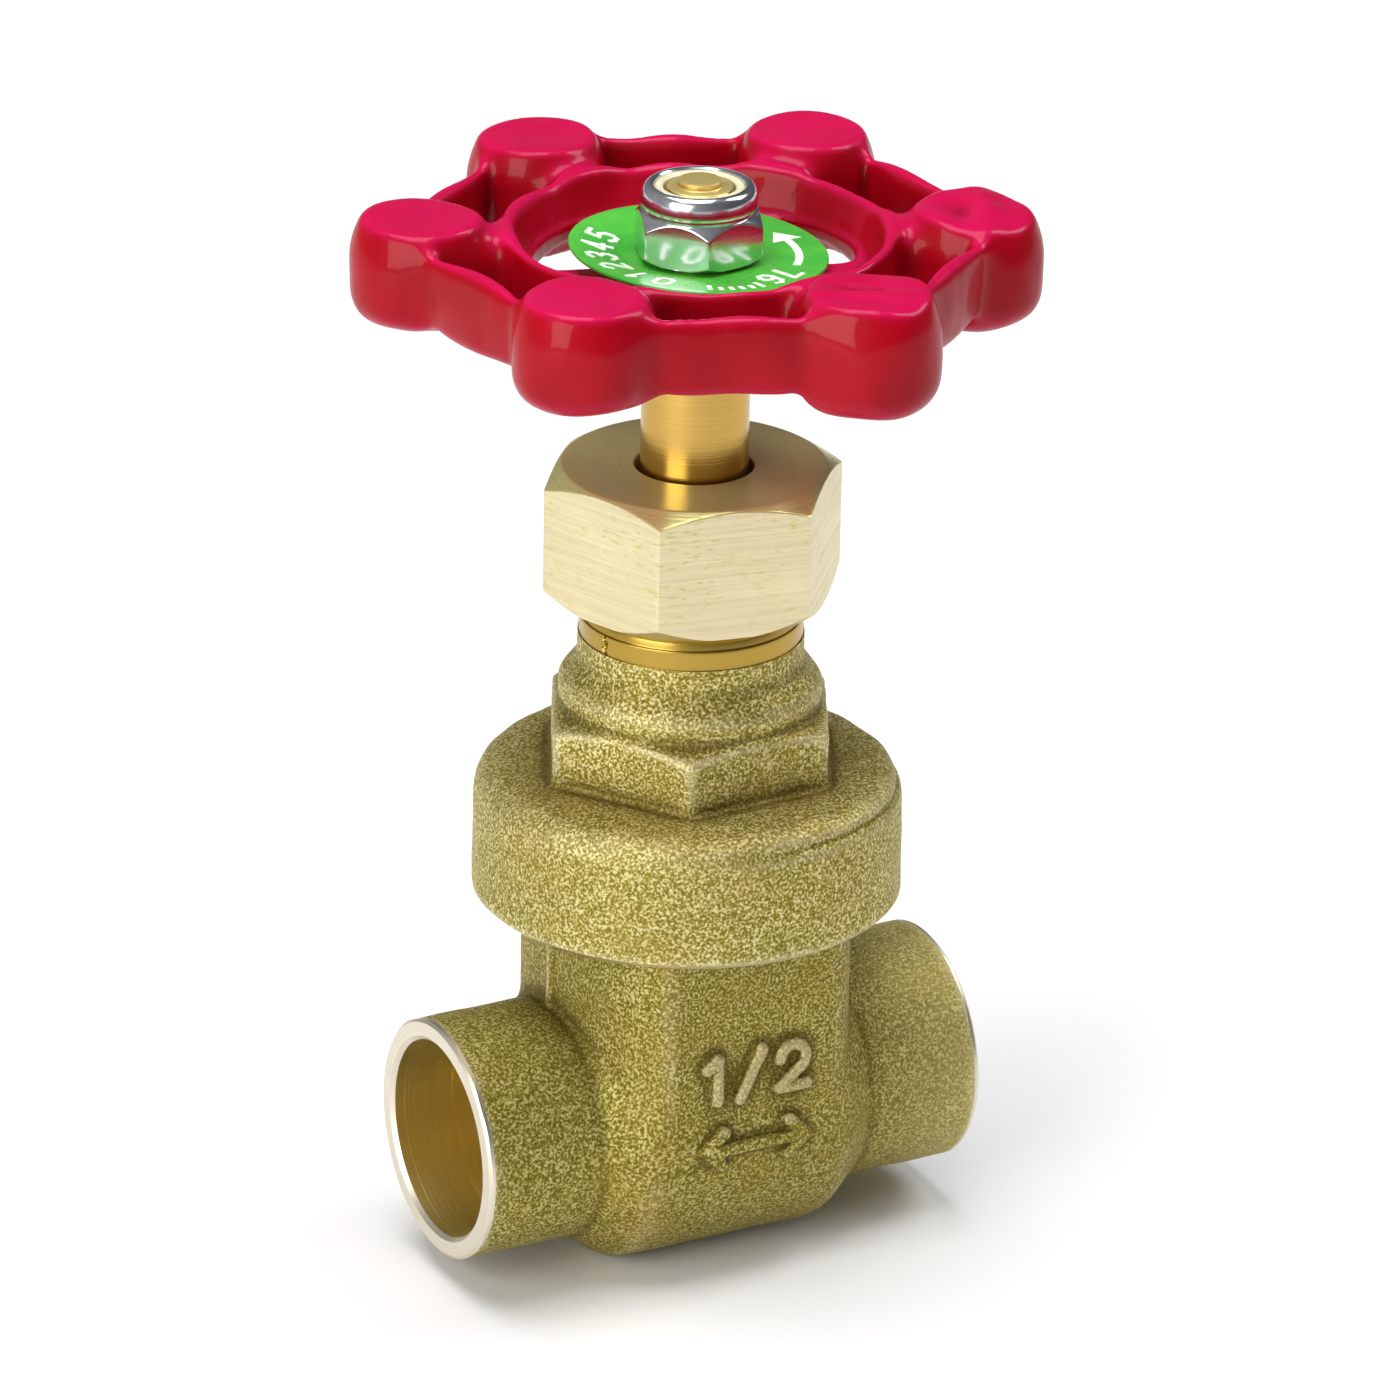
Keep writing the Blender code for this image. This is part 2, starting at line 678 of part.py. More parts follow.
pockets = [pocket(WHEEL_TURN + 30.0 + 60.0 * k) for k in range(6)]
wheel = plate("handwheel", [rim_outline(), ring(RING_IN_R, 30)] + pockets, RIM_Z[0], RIM_Z[1], PARTS)
floor_holes = [kidney(WHEEL_TURN - 30.0 + 120.0 * k) for k in range(3)]
wheel_floor = plate("wheel_floor", [ring(RING_IN_R + 0.8, 30, 6.0)] + floor_holes, FLOOR_Z[0], FLOOR_Z[1], CUTTERS)
join(wheel, wheel_floor, "UNION")
for k in range(6):
    lobe = turned(
        f"lobe_{k + 1}",
        [
            (0.0, LOBE_Z[1]),
            (LOBE_R - 0.9, LOBE_Z[1]),
            (LOBE_R - 0.2, LOBE_Z[1] - 0.35),
            (LOBE_R, LOBE_Z[1] - 1.1),
            (LOBE_R, LOBE_Z[0] + 2.4),
            (LOBE_R - 0.8, LOBE_Z[0] + 0.8),
            (LOBE_R - 2.4, LOBE_Z[0]),
            (0.0, LOBE_Z[0]),
        ],
        CUTTERS,
        18,
        at=(*polar(LOBE_RING_R, WHEEL_TURN + 60.0 * k), None),
    )
    join(wheel, lobe, "UNION")
join(wheel, rod("wheel_hub", HUB_R, HUB_BOTTOM, FLOOR_Z[1] - 0.6, CUTTERS, vertices=20), "UNION")
wheel_hole = block(
    "wheel_square_cut",
    (-SQUARE_HALF - CLEAR, -SQUARE_HALF - CLEAR, AXIS_Z + 60.0),
    (SQUARE_HALF + CLEAR, SQUARE_HALF + CLEAR, AXIS_Z + 75.0),
    CUTTERS,
)
wheel_hole.rotation_euler = (0.0, 0.0, math.radians(WHEEL_TURN))
join(wheel, wheel_hole, "DIFFERENCE")
finish(settle(wheel), RED_PAINT)

# ---- identification plate, lock nut and its insert --------------------------------------
collar("identification_plate", 3.6, LABEL_R, LABEL_Z[0], LABEL_Z[1], GREEN_PRINT, 36, 0.05)

lock = plate("lock_nut", [hexagon(LOCKNUT_CORNER_R, -109.5)], LOCKNUT_Z[0], 74.5, PARTS)
lock_cone = settle(
    turned(
        "lock_nut_cone",
        [(0.0, 74.55), (4.6, 74.55), (LOCKNUT_CORNER_R + 0.3, 73.8), (LOCKNUT_CORNER_R + 0.3, 71.3), (4.75, 70.7), (0.0, 70.7)],
        CUTTERS,
        24,
    )
)
join(lock, lock_cone, "INTERSECT")
join(lock, turned("lock_nut_collar", [(0.0, LOCKNUT_Z[1]), (4.1, LOCKNUT_Z[1]), (4.45, LOCKNUT_Z[1] - 0.35), (4.5, 74.9), (4.55, 74.1), (0.0, 74.1)], CUTTERS, 24), "UNION")
join(lock, turned("lock_nut_bore", [(0.0, 77.5), (3.75, 77.5), (3.75, 75.2), (TOP_THREAD_R + FINE_CLEAR, 75.2), (TOP_THREAD_R + FINE_CLEAR, 70.0), (0.0, 70.0)], CUTTERS, 20), "DIFFERENCE")
finish(settle(lock), PLATED_STEEL, 20.0)
collar("lock_nut_insert", TOP_THREAD_R + FINE_CLEAR, 3.75 - FINE_CLEAR, 75.2 + FINE_CLEAR, LOCKNUT_Z[1] - 0.1, NYLON, 20, 0.1)

# ---- assembly: each moving piece under an empty on its own axis ---------------------------


def pivot(name, height):
    made = bpy.data.objects.new(name, None)
    made.location = (0.0, 0.0, height)
    PARTS.objects.link(made)
    return made


def carry(parent, names):
    bpy.context.view_layer.update()
    for name in names:
        child = bpy.data.objects[name]
        child.parent = parent
        child.matrix_parent_inverse = parent.matrix_world.inverted()


stem_pivot = pivot("stem_pivot", up(COLLAR_Z[0]))
gate_pivot = pivot("gate_pivot", up(0.0))
bpy.context.view_layer.update()
carry(stem_pivot, ["stem", "handwheel", "identification_plate", "lock_nut", "lock_nut_insert"])
carry(gate_pivot, ["gate"])
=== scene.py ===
"""The finished look of the gate valve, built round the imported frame.

Lengths here are in millimetres and heights are measured from the pipe's axis, as in the design.
place() turns them into the row's metres. Cast and dipped forms are made as smoothly blended
distance fields turned into meshes; machined pieces are rows of points swept round an axis.
"""

import json
import math

import bmesh
import bpy
import numpy as np
from mathutils import Matrix, Vector

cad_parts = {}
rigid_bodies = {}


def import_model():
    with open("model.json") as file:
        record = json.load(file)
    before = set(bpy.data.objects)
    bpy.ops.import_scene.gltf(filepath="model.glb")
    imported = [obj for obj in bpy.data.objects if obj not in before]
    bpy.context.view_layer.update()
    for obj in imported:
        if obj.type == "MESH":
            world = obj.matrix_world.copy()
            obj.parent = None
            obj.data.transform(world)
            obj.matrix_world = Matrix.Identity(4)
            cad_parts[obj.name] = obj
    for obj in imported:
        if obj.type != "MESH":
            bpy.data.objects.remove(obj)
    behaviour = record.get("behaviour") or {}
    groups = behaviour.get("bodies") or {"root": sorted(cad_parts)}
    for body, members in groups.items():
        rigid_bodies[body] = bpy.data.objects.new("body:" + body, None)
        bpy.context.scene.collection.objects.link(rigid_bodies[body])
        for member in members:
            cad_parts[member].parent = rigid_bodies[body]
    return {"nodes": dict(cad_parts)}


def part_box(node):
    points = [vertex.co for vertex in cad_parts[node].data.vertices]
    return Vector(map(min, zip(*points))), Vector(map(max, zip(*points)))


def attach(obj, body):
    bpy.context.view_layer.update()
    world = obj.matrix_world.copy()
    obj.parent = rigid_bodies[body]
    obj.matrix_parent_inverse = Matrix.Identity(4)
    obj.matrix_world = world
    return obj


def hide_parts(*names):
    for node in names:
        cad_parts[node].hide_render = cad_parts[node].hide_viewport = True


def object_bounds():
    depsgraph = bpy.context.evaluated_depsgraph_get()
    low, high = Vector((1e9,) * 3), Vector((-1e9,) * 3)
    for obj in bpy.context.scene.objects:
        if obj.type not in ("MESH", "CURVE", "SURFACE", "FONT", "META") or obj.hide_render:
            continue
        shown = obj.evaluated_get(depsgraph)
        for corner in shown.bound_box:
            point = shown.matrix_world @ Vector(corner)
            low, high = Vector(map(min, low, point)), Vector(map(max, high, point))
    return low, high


for old in list(bpy.data.objects):
    bpy.data.objects.remove(old, do_unlink=True)
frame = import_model()
CAD_BOX = [list(corner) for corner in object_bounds()]
NODES = frame["nodes"]
VALVE, STEM, GATE = "valve_body", "stem_assembly", "gate_assembly"

NECK_TOP = 24.0
AXIS_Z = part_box("body")[1].z * 1000.0 - NECK_TOP   # the pipe's axis above the base
END_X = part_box("body")[1].x * 1000.0               # half the end-to-end length
STEM_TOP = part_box("stem")[1].z * 1000.0 - AXIS_Z
WHEEL_TURN = 38.65
SCENE = bpy.context.scene.collection

# ---- distance fields --------------------------------------------------------------------


def smin(a, b, k):
    """The lower of two fields, blended over a width k: a fillet."""
    h = np.clip(0.5 + 0.5 * (b - a) / k, 0.0, 1.0)
    return b + (a - b) * h - k * h * (1.0 - h)


def smax(a, b, k):
    return -smin(-a, -b, k)


def segment2(px, py, ax, ay, bx, by):
    """Distance from points to a line segment in a plane."""
    dx, dy = bx - ax, by - ay
    t = np.clip(((px - ax) * dx + (py - ay) * dy) / (dx * dx + dy * dy), 0.0, 1.0)
    return np.hypot(px - ax - t * dx, py - ay - t * dy)


def surface_points(field, low, high, step):
    """Surface nets: one vertex in each grid cell that the surface crosses, and quads between them."""
    axes = [np.arange(a, b + step, step, dtype=np.float32) for a, b in zip(low, high)]
    x, y, z = np.meshgrid(*axes, indexing="ij", sparse=True)
    f = np.asarray(field(x, y, z), np.float32)
    f = np.broadcast_to(f, [len(a) for a in axes]).copy()
    inside = f < 0.0
    nx, ny, nz = f.shape
    corners = [(i, j, k) for i in (0, 1) for j in (0, 1) for k in (0, 1)]
    count = np.zeros((nx - 1, ny - 1, nz - 1), np.int8)
    for i, j, k in corners:
        count += inside[i : nx - 1 + i, j : ny - 1 + j, k : nz - 1 + k]
    ci, cj, ck = np.nonzero((count > 0) & (count < 8))
    index = np.full(count.shape, -1, np.int64)
    index[ci, cj, ck] = np.arange(len(ci))
    value = {c: f[ci + c[0], cj + c[1], ck + c[2]] for c in corners}
    total = np.zeros((len(ci), 3))
    hits = np.zeros(len(ci))
    for a in corners:
        for axis in range(3):
            if a[axis]:
                continue
            b = tuple(v + (1 if n == axis else 0) for n, v in enumerate(a))
            crossed = (value[a] < 0) != (value[b] < 0)
            t = np.where(crossed, value[a] / np.where(crossed, value[a] - value[b], 1.0), 0.0)
            point = np.tile(np.array(a, float), (len(ci), 1))
            point[:, axis] += t
            total += point * crossed[:, None]
            hits += crossed
    points = (np.stack([ci, cj, ck], 1) + total / hits[:, None]) * step + np.array(low)
    quads = []
    for axis in range(3):
        u, v = [n for n in range(3) if n != axis]
        here = [slice(None)] * 3
        there = [slice(None)] * 3
        here[axis], there[axis] = slice(0, -1), slice(1, None)
        a_in, b_in = inside[tuple(here)], inside[tuple(there)]
        for sign, mask in ((1, a_in & ~b_in), (-1, ~a_in & b_in)):
            at = np.stack(np.nonzero(mask), 1)
            at = at[(at[:, u] > 0) & (at[:, v] > 0)]
            at = at[(at[:, u] < f.shape[u] - 1) & (at[:, v] < f.shape[v] - 1)]
            ring = []
            for du, dv in ((-1, -1), (0, -1), (0, 0), (-1, 0)):
                cell = at.copy()
                cell[:, u] += du
                cell[:, v] += dv
                ring.append(index[cell[:, 0], cell[:, 1], cell[:, 2]])
            quad = np.stack(ring, 1)
            turn = sign * (1 if axis != 1 else -1)
            quads.append(quad if turn > 0 else quad[:, ::-1])
    return points, np.concatenate(quads)


def settle_points(field, points, quads, rounds, step):
    """Evens the mesh out along the surface, and moves each vertex onto it."""
    edges = np.concatenate([quads[:, [0, 1]], quads[:, [1, 2]], quads[:, [2, 3]], quads[:, [3, 0]]])
    n = len(points)
    degree = np.maximum(np.bincount(edges.ravel(), minlength=n), 1)

    def project(p):
        e = 0.01
        for _ in range(2):
            x, y, z = p.T
            f = field(x, y, z)
            g = np.stack(
                [
                    field(x + e, y, z) - field(x - e, y, z),
                    field(x, y + e, z) - field(x, y - e, z),
                    field(x, y, z + e) - field(x, y, z - e),
                ],
                1,
            ) / (2 * e)
            size = np.maximum((g * g).sum(1), 0.25)
            move = -(f / size)[:, None] * g
            length = np.linalg.norm(move, axis=1, keepdims=True)
            move *= np.minimum(1.0, 0.5 * step / np.maximum(length, 1e-9))
            p = p + move
        return p

    points = project(points)
    for _ in range(rounds):
        mean = np.stack(
            [
                np.bincount(edges[:, 0], points[edges[:, 1], c], n)
                + np.bincount(edges[:, 1], points[edges[:, 0], c], n)
                for c in range(3)
            ],
            1,
        ) / degree[:, None]
        points = project(0.5 * points + 0.5 * mean)
    return points


def place(points):
    points = np.array(points, float)
    points[:, 2] += AXIS_Z
    return points * 0.001


def new_object(name, vertices, faces):
    mesh = bpy.data.meshes.new(name)
    mesh.from_pydata(vertices, [], faces)
    mesh.update()
    obj = bpy.data.objects.new(name, mesh)
    SCENE.objects.link(obj)
    return obj


def formed(name, field, low, high, step, rounds=3):
    """A mesh of a distance field."""
    points, quads = surface_points(field, low, high, step)
    points = settle_points(field, points, quads, rounds, step)
    return new_object(name, place(points).tolist(), quads.tolist())


def tidy(obj):
    """Welds points that a cut left on top of each other, so that no sliver stays behind."""
    build = bmesh.new()
    build.from_mesh(obj.data)
    bmesh.ops.remove_doubles(build, verts=build.verts[:], dist=0.000003)
    bmesh.ops.dissolve_degenerate(build, edges=build.edges[:], dist=0.000002)
    # islands of a few faces are dropped, and the pinholes they leave are closed
    for start in [e for e in build.edges if len(e.link_faces) != 2]:
        if not start.is_valid or not start.link_faces:
            continue
        island, front = set(), [start.link_faces[0]]
        while front and len(island) < 60:
            face = front.pop()
            if face not in island:
                island.add(face)
                front += [other for e in face.edges for other in e.link_faces if other not in island]
        if len(island) < 60:
            bmesh.ops.delete(build, geom=list(island), context="FACES")
    bmesh.ops.holes_fill(build, edges=[e for e in build.edges if len(e.link_faces) == 1], sides=0)
    build.to_mesh(obj.data)
    build.free()
    obj.data.update()


def store_shading_masks(obj, field, reach=1.0, seam=None):
    """Stores on each vertex, 0 to 1, how far it sits in a crease and how much it stands on an edge, as masks for
    painted shade in creases and a painted highlight on edges.

    The surface is smoothed a little, and how far that moves a vertex along its normal tells the two apart.
    """
    tidy(obj)
    mesh = obj.data
    count = len(mesh.vertices)
    points = np.empty(count * 3, np.float32)
    mesh.vertices.foreach_get("co", points)
    points = points.reshape(-1, 3).astype(float) * 1000.0
    points[:, 2] -= AXIS_Z
    normals = np.empty(count * 3, np.float32)
    mesh.vertices.foreach_get("normal", normals)
    normals = normals.reshape(-1, 3).astype(float)
    ends = np.empty(len(mesh.edges) * 2, np.int32)
    mesh.edges.foreach_get("vertices", ends)
    a, b = ends.reshape(-1, 2).T
    degree = np.maximum(np.bincount(a, minlength=count) + np.bincount(b, minlength=count), 1)
    smooth = points.copy()
    lift = np.zeros(count)
    for step in range(1, int(26 * reach * reach) + 1):
        moved = np.empty_like(smooth)
        for i in range(3):
            moved[:, i] = (
                np.bincount(a, smooth[b, i], count) + np.bincount(b, smooth[a, i], count)
            ) / degree
        smooth = 0.4 * smooth + 0.6 * moved
        for at, share in ((5, 0.30), (13, 0.35), (26, 0.35)):
            if step == int(at * reach * reach):
                spread = 0.25 * math.sqrt(0.3 * step)
                lift += share * ((smooth - points) * normals).sum(1) / (0.56 * spread)
    x, y, z = points.T
    off = np.abs(field(x, y, z)) > 0.08
    lift[off] = 0.0
    crease_shade = np.clip(lift, 0.0, 1.0)
    edge = np.clip(-lift, 0.0, 1.0)
    if seam is not None:
        # two forms that meet flush here, so there is no real edge
        edge *= 1.0 - seam(x, y, z)
    # how near the next wall is, over a few millimetres, as a mask for painted shade near walls
    near_wall_shade = np.zeros(count)
    for far in (2.5, 5.0):
        d = field(*(points + normals * far).T)
        near_wall_shade += 0.5 * np.clip((1.0 - d / far - 0.30) / 0.55, 0.0, 1.0)
    near_wall_shade[off] = 0.0
    for name, values in (("crease_shade", crease_shade), ("edge", edge), ("near_wall_shade", near_wall_shade)):
        layer = mesh.attributes.new(name, "FLOAT", "POINT")
        layer.data.foreach_set("value", values.astype(np.float32))


# ---- swept rows -------------------------------------------------------------------------


def swept(name, rows, segments=128, closed=False, along="Z", centre=(0.0, 0.0), turn=0.0):
    """A solid from rows of (radius, height). A radius may be a function of the angle in radians.

    Without closed, the first and last rows are capped with a fan to the axis.
    """
    angle = np.arange(segments) * 2.0 * math.pi / segments + math.radians(turn)
    grid = []
    for r, h in rows:
        radius = r(angle, h) if callable(r) else np.full(segments, float(r))
        grid.append(np.stack([radius * np.cos(angle), radius * np.sin(angle), np.full(segments, float(h))], 1))
    points = np.concatenate(grid)
    faces = []
    last = len(rows) if closed else len(rows) - 1
    for i in range(last):
        a, b = i * segments, ((i + 1) % len(rows)) * segments
        for j in range(segments):
            k = (j + 1) % segments
            faces.append((a + j, a + k, b + k, b + j))
    if not closed:
        points = np.concatenate([points, [[0, 0, rows[0][1]], [0, 0, rows[-1][1]]]])
        top, low = len(points) - 2, len(points) - 1
        base = (len(rows) - 1) * segments
        for j in range(segments):
            k = (j + 1) % segments
            faces.append((top, k, j))
            faces.append((low, base + j, base + k))
    if along == "X":
        points = points[:, [2, 0, 1]]
    elif along == "-X":
        points = points[:, [2, 1, 0]] * np.array([-1.0, 1.0, 1.0])
    points = points + np.array([centre[0], centre[1], 0.0])
    obj = new_object(name, place(points).tolist(), faces)
    outward(obj)
    return obj


def outward(obj):
    build = bmesh.new()
    build.from_mesh(obj.data)
    bmesh.ops.remove_doubles(build, verts=build.verts, dist=1e-7)
    bmesh.ops.recalc_face_normals(build, faces=build.faces)
    build.to_mesh(obj.data)
    build.free()


def eased(rows, radius=0.15, steps=3, closed=False):
    """Rounds the corners of a profile of (radius, height) pairs by a small radius."""
    out = []
    n = len(rows)
    for i, (r, h) in enumerate(rows):
        if not closed and i in (0, n - 1):
            out.append((r, h))
            continue
        a, b, c = Vector(rows[i - 1]), Vector((r, h)), Vector(rows[(i + 1) % n])
        one, two = (a - b), (c - b)
        if one.length < 1e-6 or two.length < 1e-6 or one.angle(two) > math.radians(174):
            out.append((r, h))
            continue
        reach = min(radius / math.tan(one.angle(two) / 2), one.length * 0.45, two.length * 0.45)
        start, end = b + one.normalized() * reach, b + two.normalized() * reach
        for s in range(steps + 1):
            t = s / steps
            p = start * (1 - t) ** 2 + b * 2 * t * (1 - t) + end * t**2
            out.append((p.x, p.y))
    return out


def prism(name, outline, low, high, along="Z"):
    n = len(outline)
    if along == "Z":
        points = [(x, y, low) for x, y in outline] + [(x, y, high) for x, y in outline]
    else:
        points = [(low, x, y) for x, y in outline] + [(high, x, y) for x, y in outline]
    faces = [tuple(range(n))[::-1], tuple(range(n, 2 * n))]
    faces += [(i, (i + 1) % n, n + (i + 1) % n, n + i) for i in range(n)]
    obj = new_object(name, place(points).tolist(), faces)
    outward(obj)
    return obj


def combine(obj, other, how, keep=False):
    made = obj.modifiers.new("cut", "BOOLEAN")
    made.operation = how
    made.solver = "MANIFOLD"
    made.object = other
    bpy.context.view_layer.update()
    graph = bpy.context.evaluated_depsgraph_get()
    mesh = bpy.data.meshes.new_from_object(obj.evaluated_get(graph))
    obj.modifiers.clear()
    old, obj.data = obj.data, mesh
    mesh.name = obj.name
    bpy.data.meshes.remove(old)
    if not keep:
        bpy.data.objects.remove(other, do_unlink=True)
    return obj


def shade(obj, degrees=30.0):
    obj.data.shade_smooth()
    obj.data.set_sharp_from_angle(angle=math.radians(degrees))
    return obj


def arc(cx, cy, r, start, end, steps):
    return [
        (
            cx + r * math.cos(math.radians(start + (end - start) * i / steps)),
            cy + r * math.sin(math.radians(start + (end - start) * i / steps)),
        )
        for i in range(steps + 1)
    ]


def polar(r, degrees):
    return (r * math.cos(math.radians(degrees)), r * math.sin(math.radians(degrees)))


def hexagon_reach(corner, turn, angle, ease=0.12):
    """Distance from the axis to a hexagon's side at an angle, with its corners slightly eased."""
    apothem = corner * math.cos(math.radians(30.0))
    near = np.full_like(angle, 1e9)
    for k in range(6):
        side = math.radians(turn + 30.0 + 60.0 * k)
        c = np.cos(angle - side)
        reach = np.where(c > 0.2, apothem / np.maximum(c, 0.2), 1e9)
        near = np.where(near > 1e8, reach, smin(near, np.minimum(reach, 1e6), ease) if ease else np.minimum(near, reach))
    return near


# ---- materials --------------------------------------------------------------------------


class Graph:
    """A short way to write a material's nodes."""

    def __init__(self, name):
        self.material = bpy.data.materials.new(name)
        self.material.use_nodes = True
        self.tree = self.material.node_tree
        self.shader = self.tree.nodes["Principled BSDF"]
        self.where = self.add("ShaderNodeTexCoord").outputs["Object"]

    def add(self, kind, **settings):
        node = self.tree.nodes.new(kind)
        for key, value in settings.items():
            setattr(node, key, value)
        return node

    def wire(self, source, target):
        if isinstance(source, (int, float, tuple)):
            target.default_value = source
        else:
            self.tree.links.new(source, target)

    def stored(self, name):
        return self.add("ShaderNodeAttribute", attribute_name=name).outputs["Fac"]

    def stretch(self, scale, source=None, turn=(0.0, 0.0, 0.0)):
        node = self.add("ShaderNodeMapping")
        node.inputs["Scale"].default_value = scale
        node.inputs["Rotation"].default_value = turn
        self.wire(source or self.where, node.inputs["Vector"])
        return node.outputs["Vector"]

    def noise(self, scale, detail=2.0, roughness=0.5, source=None, distortion=0.0):
        node = self.add("ShaderNodeTexNoise")
        node.inputs["Scale"].default_value = scale
        node.inputs["Detail"].default_value = detail
        node.inputs["Roughness"].default_value = roughness
        node.inputs["Distortion"].default_value = distortion
        self.wire(source or self.where, node.inputs["Vector"])
        return node.outputs["Fac"]

    def ramp(self, source, stops, smooth=False):
        node = self.add("ShaderNodeValToRGB")
        if smooth:
            node.color_ramp.interpolation = "EASE"
        elements = node.color_ramp.elements
        while len(elements) < len(stops):
            elements.new(0.5)
        for element, (position, colour) in zip(elements, stops):
            element.position = position
            if isinstance(colour, (int, float)):
                colour = (colour, colour, colour)
            element.color = (*colour, 1.0)
        self.wire(source, node.inputs["Fac"])
        return node.outputs["Color"]

    def mix(self, factor, a, b, how="MIX"):
        node = self.add("ShaderNodeMix", data_type="RGBA", blend_type=how)
        self.wire(factor, node.inputs["Factor"])
        for value, socket in ((a, node.inputs[6]), (b, node.inputs[7])):
            self.wire((*value, 1.0) if isinstance(value, tuple) else value, socket)
        return node.outputs[2]

    def math(self, how, a, b=0.0, clamp=False):
        node = self.add("ShaderNodeMath", operation=how, use_clamp=clamp)
        self.wire(a, node.inputs[0])
        self.wire(b, node.inputs[1])
        return node.outputs[0]

    def bump(self, height, strength, distance, before=None):
        node = self.add("ShaderNodeBump")
        node.inputs["Strength"].default_value = strength
        node.inputs["Distance"].default_value = distance
        self.wire(height, node.inputs["Height"])
        if before is not None:
            self.wire(before, node.inputs["Normal"])
        return node.outputs["Normal"]

    def set(self, **inputs):
        for key, value in inputs.items():
            name = key.replace("_", " ").title().replace("Ior", "IOR")
            socket = self.shader.inputs[name]
            if isinstance(value, tuple) and len(value) == 3:
                value = (*value, 1.0)
            self.wire(value, socket)
        return self


def srgb(r, g, b):
    """A linear colour from the 0-255 values that a screen shows."""
    return tuple(
        (c / 255.0) / 12.92 if c / 255.0 <= 0.04045 else ((c / 255.0 + 0.055) / 1.055) ** 2.4
        for c in (r, g, b)
    )


def cast_brass(name, tone, blue, base_rough, lit_right_socket=False):
    """Brass casting cleaned by shot blasting: pale worm-like grains on olive gold, with painted shade in creases and
    near walls and a painted highlight along edges.
    """
    g = Graph(name)
    grain = g.noise(4500.0, 0.8, 0.5, distortion=0.35)
    fine = g.noise(7200.0, 1.0, 0.5)
    patch = g.noise(170.0, 3.0, 0.6)
    broad = g.noise(55.0, 2.0, 0.5)
    speckle = g.ramp(
        grain,
        [
            (0.36, srgb(126 * tone, 114 * tone, 40 * blue)),
            (0.46, srgb(154 * tone, 141 * tone, 62 * blue)),
            (0.54, srgb(186 * tone, 172 * tone, 100 * blue)),
            (0.65, srgb(228 * tone, 218 * tone, 166 * blue)),
        ],
    )
    warm = g.mix(g.ramp(patch, [(0.42, 0.0), (0.68, 0.55)]), speckle, g.mix(0.5, speckle, srgb(166, 130, 48)))
    colour = g.mix(g.ramp(broad, [(0.42, 0.0), (0.62, 0.35)]), warm, g.mix(0.5, warm, srgb(124, 122, 62)))
    # masks for painted shade in creases and a painted highlight along edges
    crease_shade = g.ramp(g.stored("crease_shade"), [(0.03, 0.0), (0.30, 0.88)], smooth=True)
    edge = g.ramp(g.stored("edge"), [(0.05, 0.0), (0.45, 0.55)], smooth=True)
    if lit_right_socket:
        # one socket, towards +x, is painted paler than the rest of the casting: painted light falling on it from the
        # right
        split = g.add("ShaderNodeSeparateXYZ")
        g.wire(g.where, split.inputs[0])
        socket_light = g.ramp(split.outputs["X"], [(0.0120, 0.0), (0.0190, 0.24)], smooth=True)
        colour = g.mix(socket_light, colour, srgb(222, 211, 150))
    # painted shade near walls, then the painted edge highlight and the painted crease shade are mixed in
    near_wall_shade = g.math("MULTIPLY", g.stored("near_wall_shade"), 0.62)
    colour = g.mix(near_wall_shade, colour, g.mix(0.72, colour, srgb(104, 86, 28)))
    colour = g.mix(edge, colour, g.mix(0.6, colour, srgb(236, 226, 186)))
    colour = g.mix(crease_shade, colour, g.mix(0.68, colour, srgb(88, 70, 14)))
    rough = g.math("ADD", g.math("MULTIPLY", fine, 0.20), base_rough)
    height = g.math("ADD", g.math("MULTIPLY", grain, 1.0), g.math("MULTIPLY", fine, 0.25))
    normal = g.bump(height, 0.55, 0.00017)
    normal = g.bump(patch, 0.25, 0.0006, normal)
    g.set(base_color=colour, metallic=0.74, roughness=rough, normal=normal)
    g.shader.inputs["Specular IOR Level"].default_value = 0.2
    return g.material


def machined_brass(name, colour, rough, lines, axis="Z", stain=0.0, line_scale=5200.0, line_strength=0.10):
    """Cut brass: fine tool lines across the given axis, faint handling marks and small stains."""
    g = Graph(name)
    small, large = 60.0 if lines else 300.0, line_scale
    scale = {"Z": (small, small, large), "X": (large, small, small)}[axis]
    tool = g.noise(1.0, 2.0, 0.6, source=g.stretch(scale))
    wide = g.noise(1.0, 1.0, 0.5, source=g.stretch(tuple(v * 0.22 for v in scale)))
    cloud = g.noise(190.0, 3.0, 0.6)
    base = g.mix(g.ramp(tool, [(0.35, 0.0), (0.68, 0.55)]), srgb(*colour), g.mix(0.5, srgb(*colour), srgb(*[c * 0.80 for c in colour])))
    base = g.mix(g.ramp(cloud, [(0.50, 0.0), (0.75, 0.45)]), base, g.mix(0.5, base, srgb(*(min(255, c * 1.1) for c in colour))))
    if stain:
        spots = g.noise(1.0, 1.0, 0.5, source=g.stretch((900.0, 900.0, 3600.0)))
        gate = g.noise(150.0, 2.0, 0.5)
        mask = g.math("MULTIPLY", g.ramp(spots, [(0.56, 0.0), (0.70, 1.0)]), g.ramp(gate, [(0.44, 0.0), (0.60, 1.0)]))
        base = g.mix(g.math("MULTIPLY", mask, stain), base, srgb(196, 182, 92))
        smudge = g.noise(420.0, 1.0, 0.5)
        base = g.mix(g.ramp(smudge, [(0.70, 0.0), (0.80, 0.5)]), base, srgb(206, 176, 118))
    g.set(
        base_color=base,
        metallic=1.0,
        roughness=g.math("ADD", g.math("MULTIPLY", tool, rough * 0.6), rough * 0.7),
        normal=g.bump(g.math("ADD", tool, g.math("MULTIPLY", wide, 0.8)), line_strength, 0.00012),
    )
    return g.material


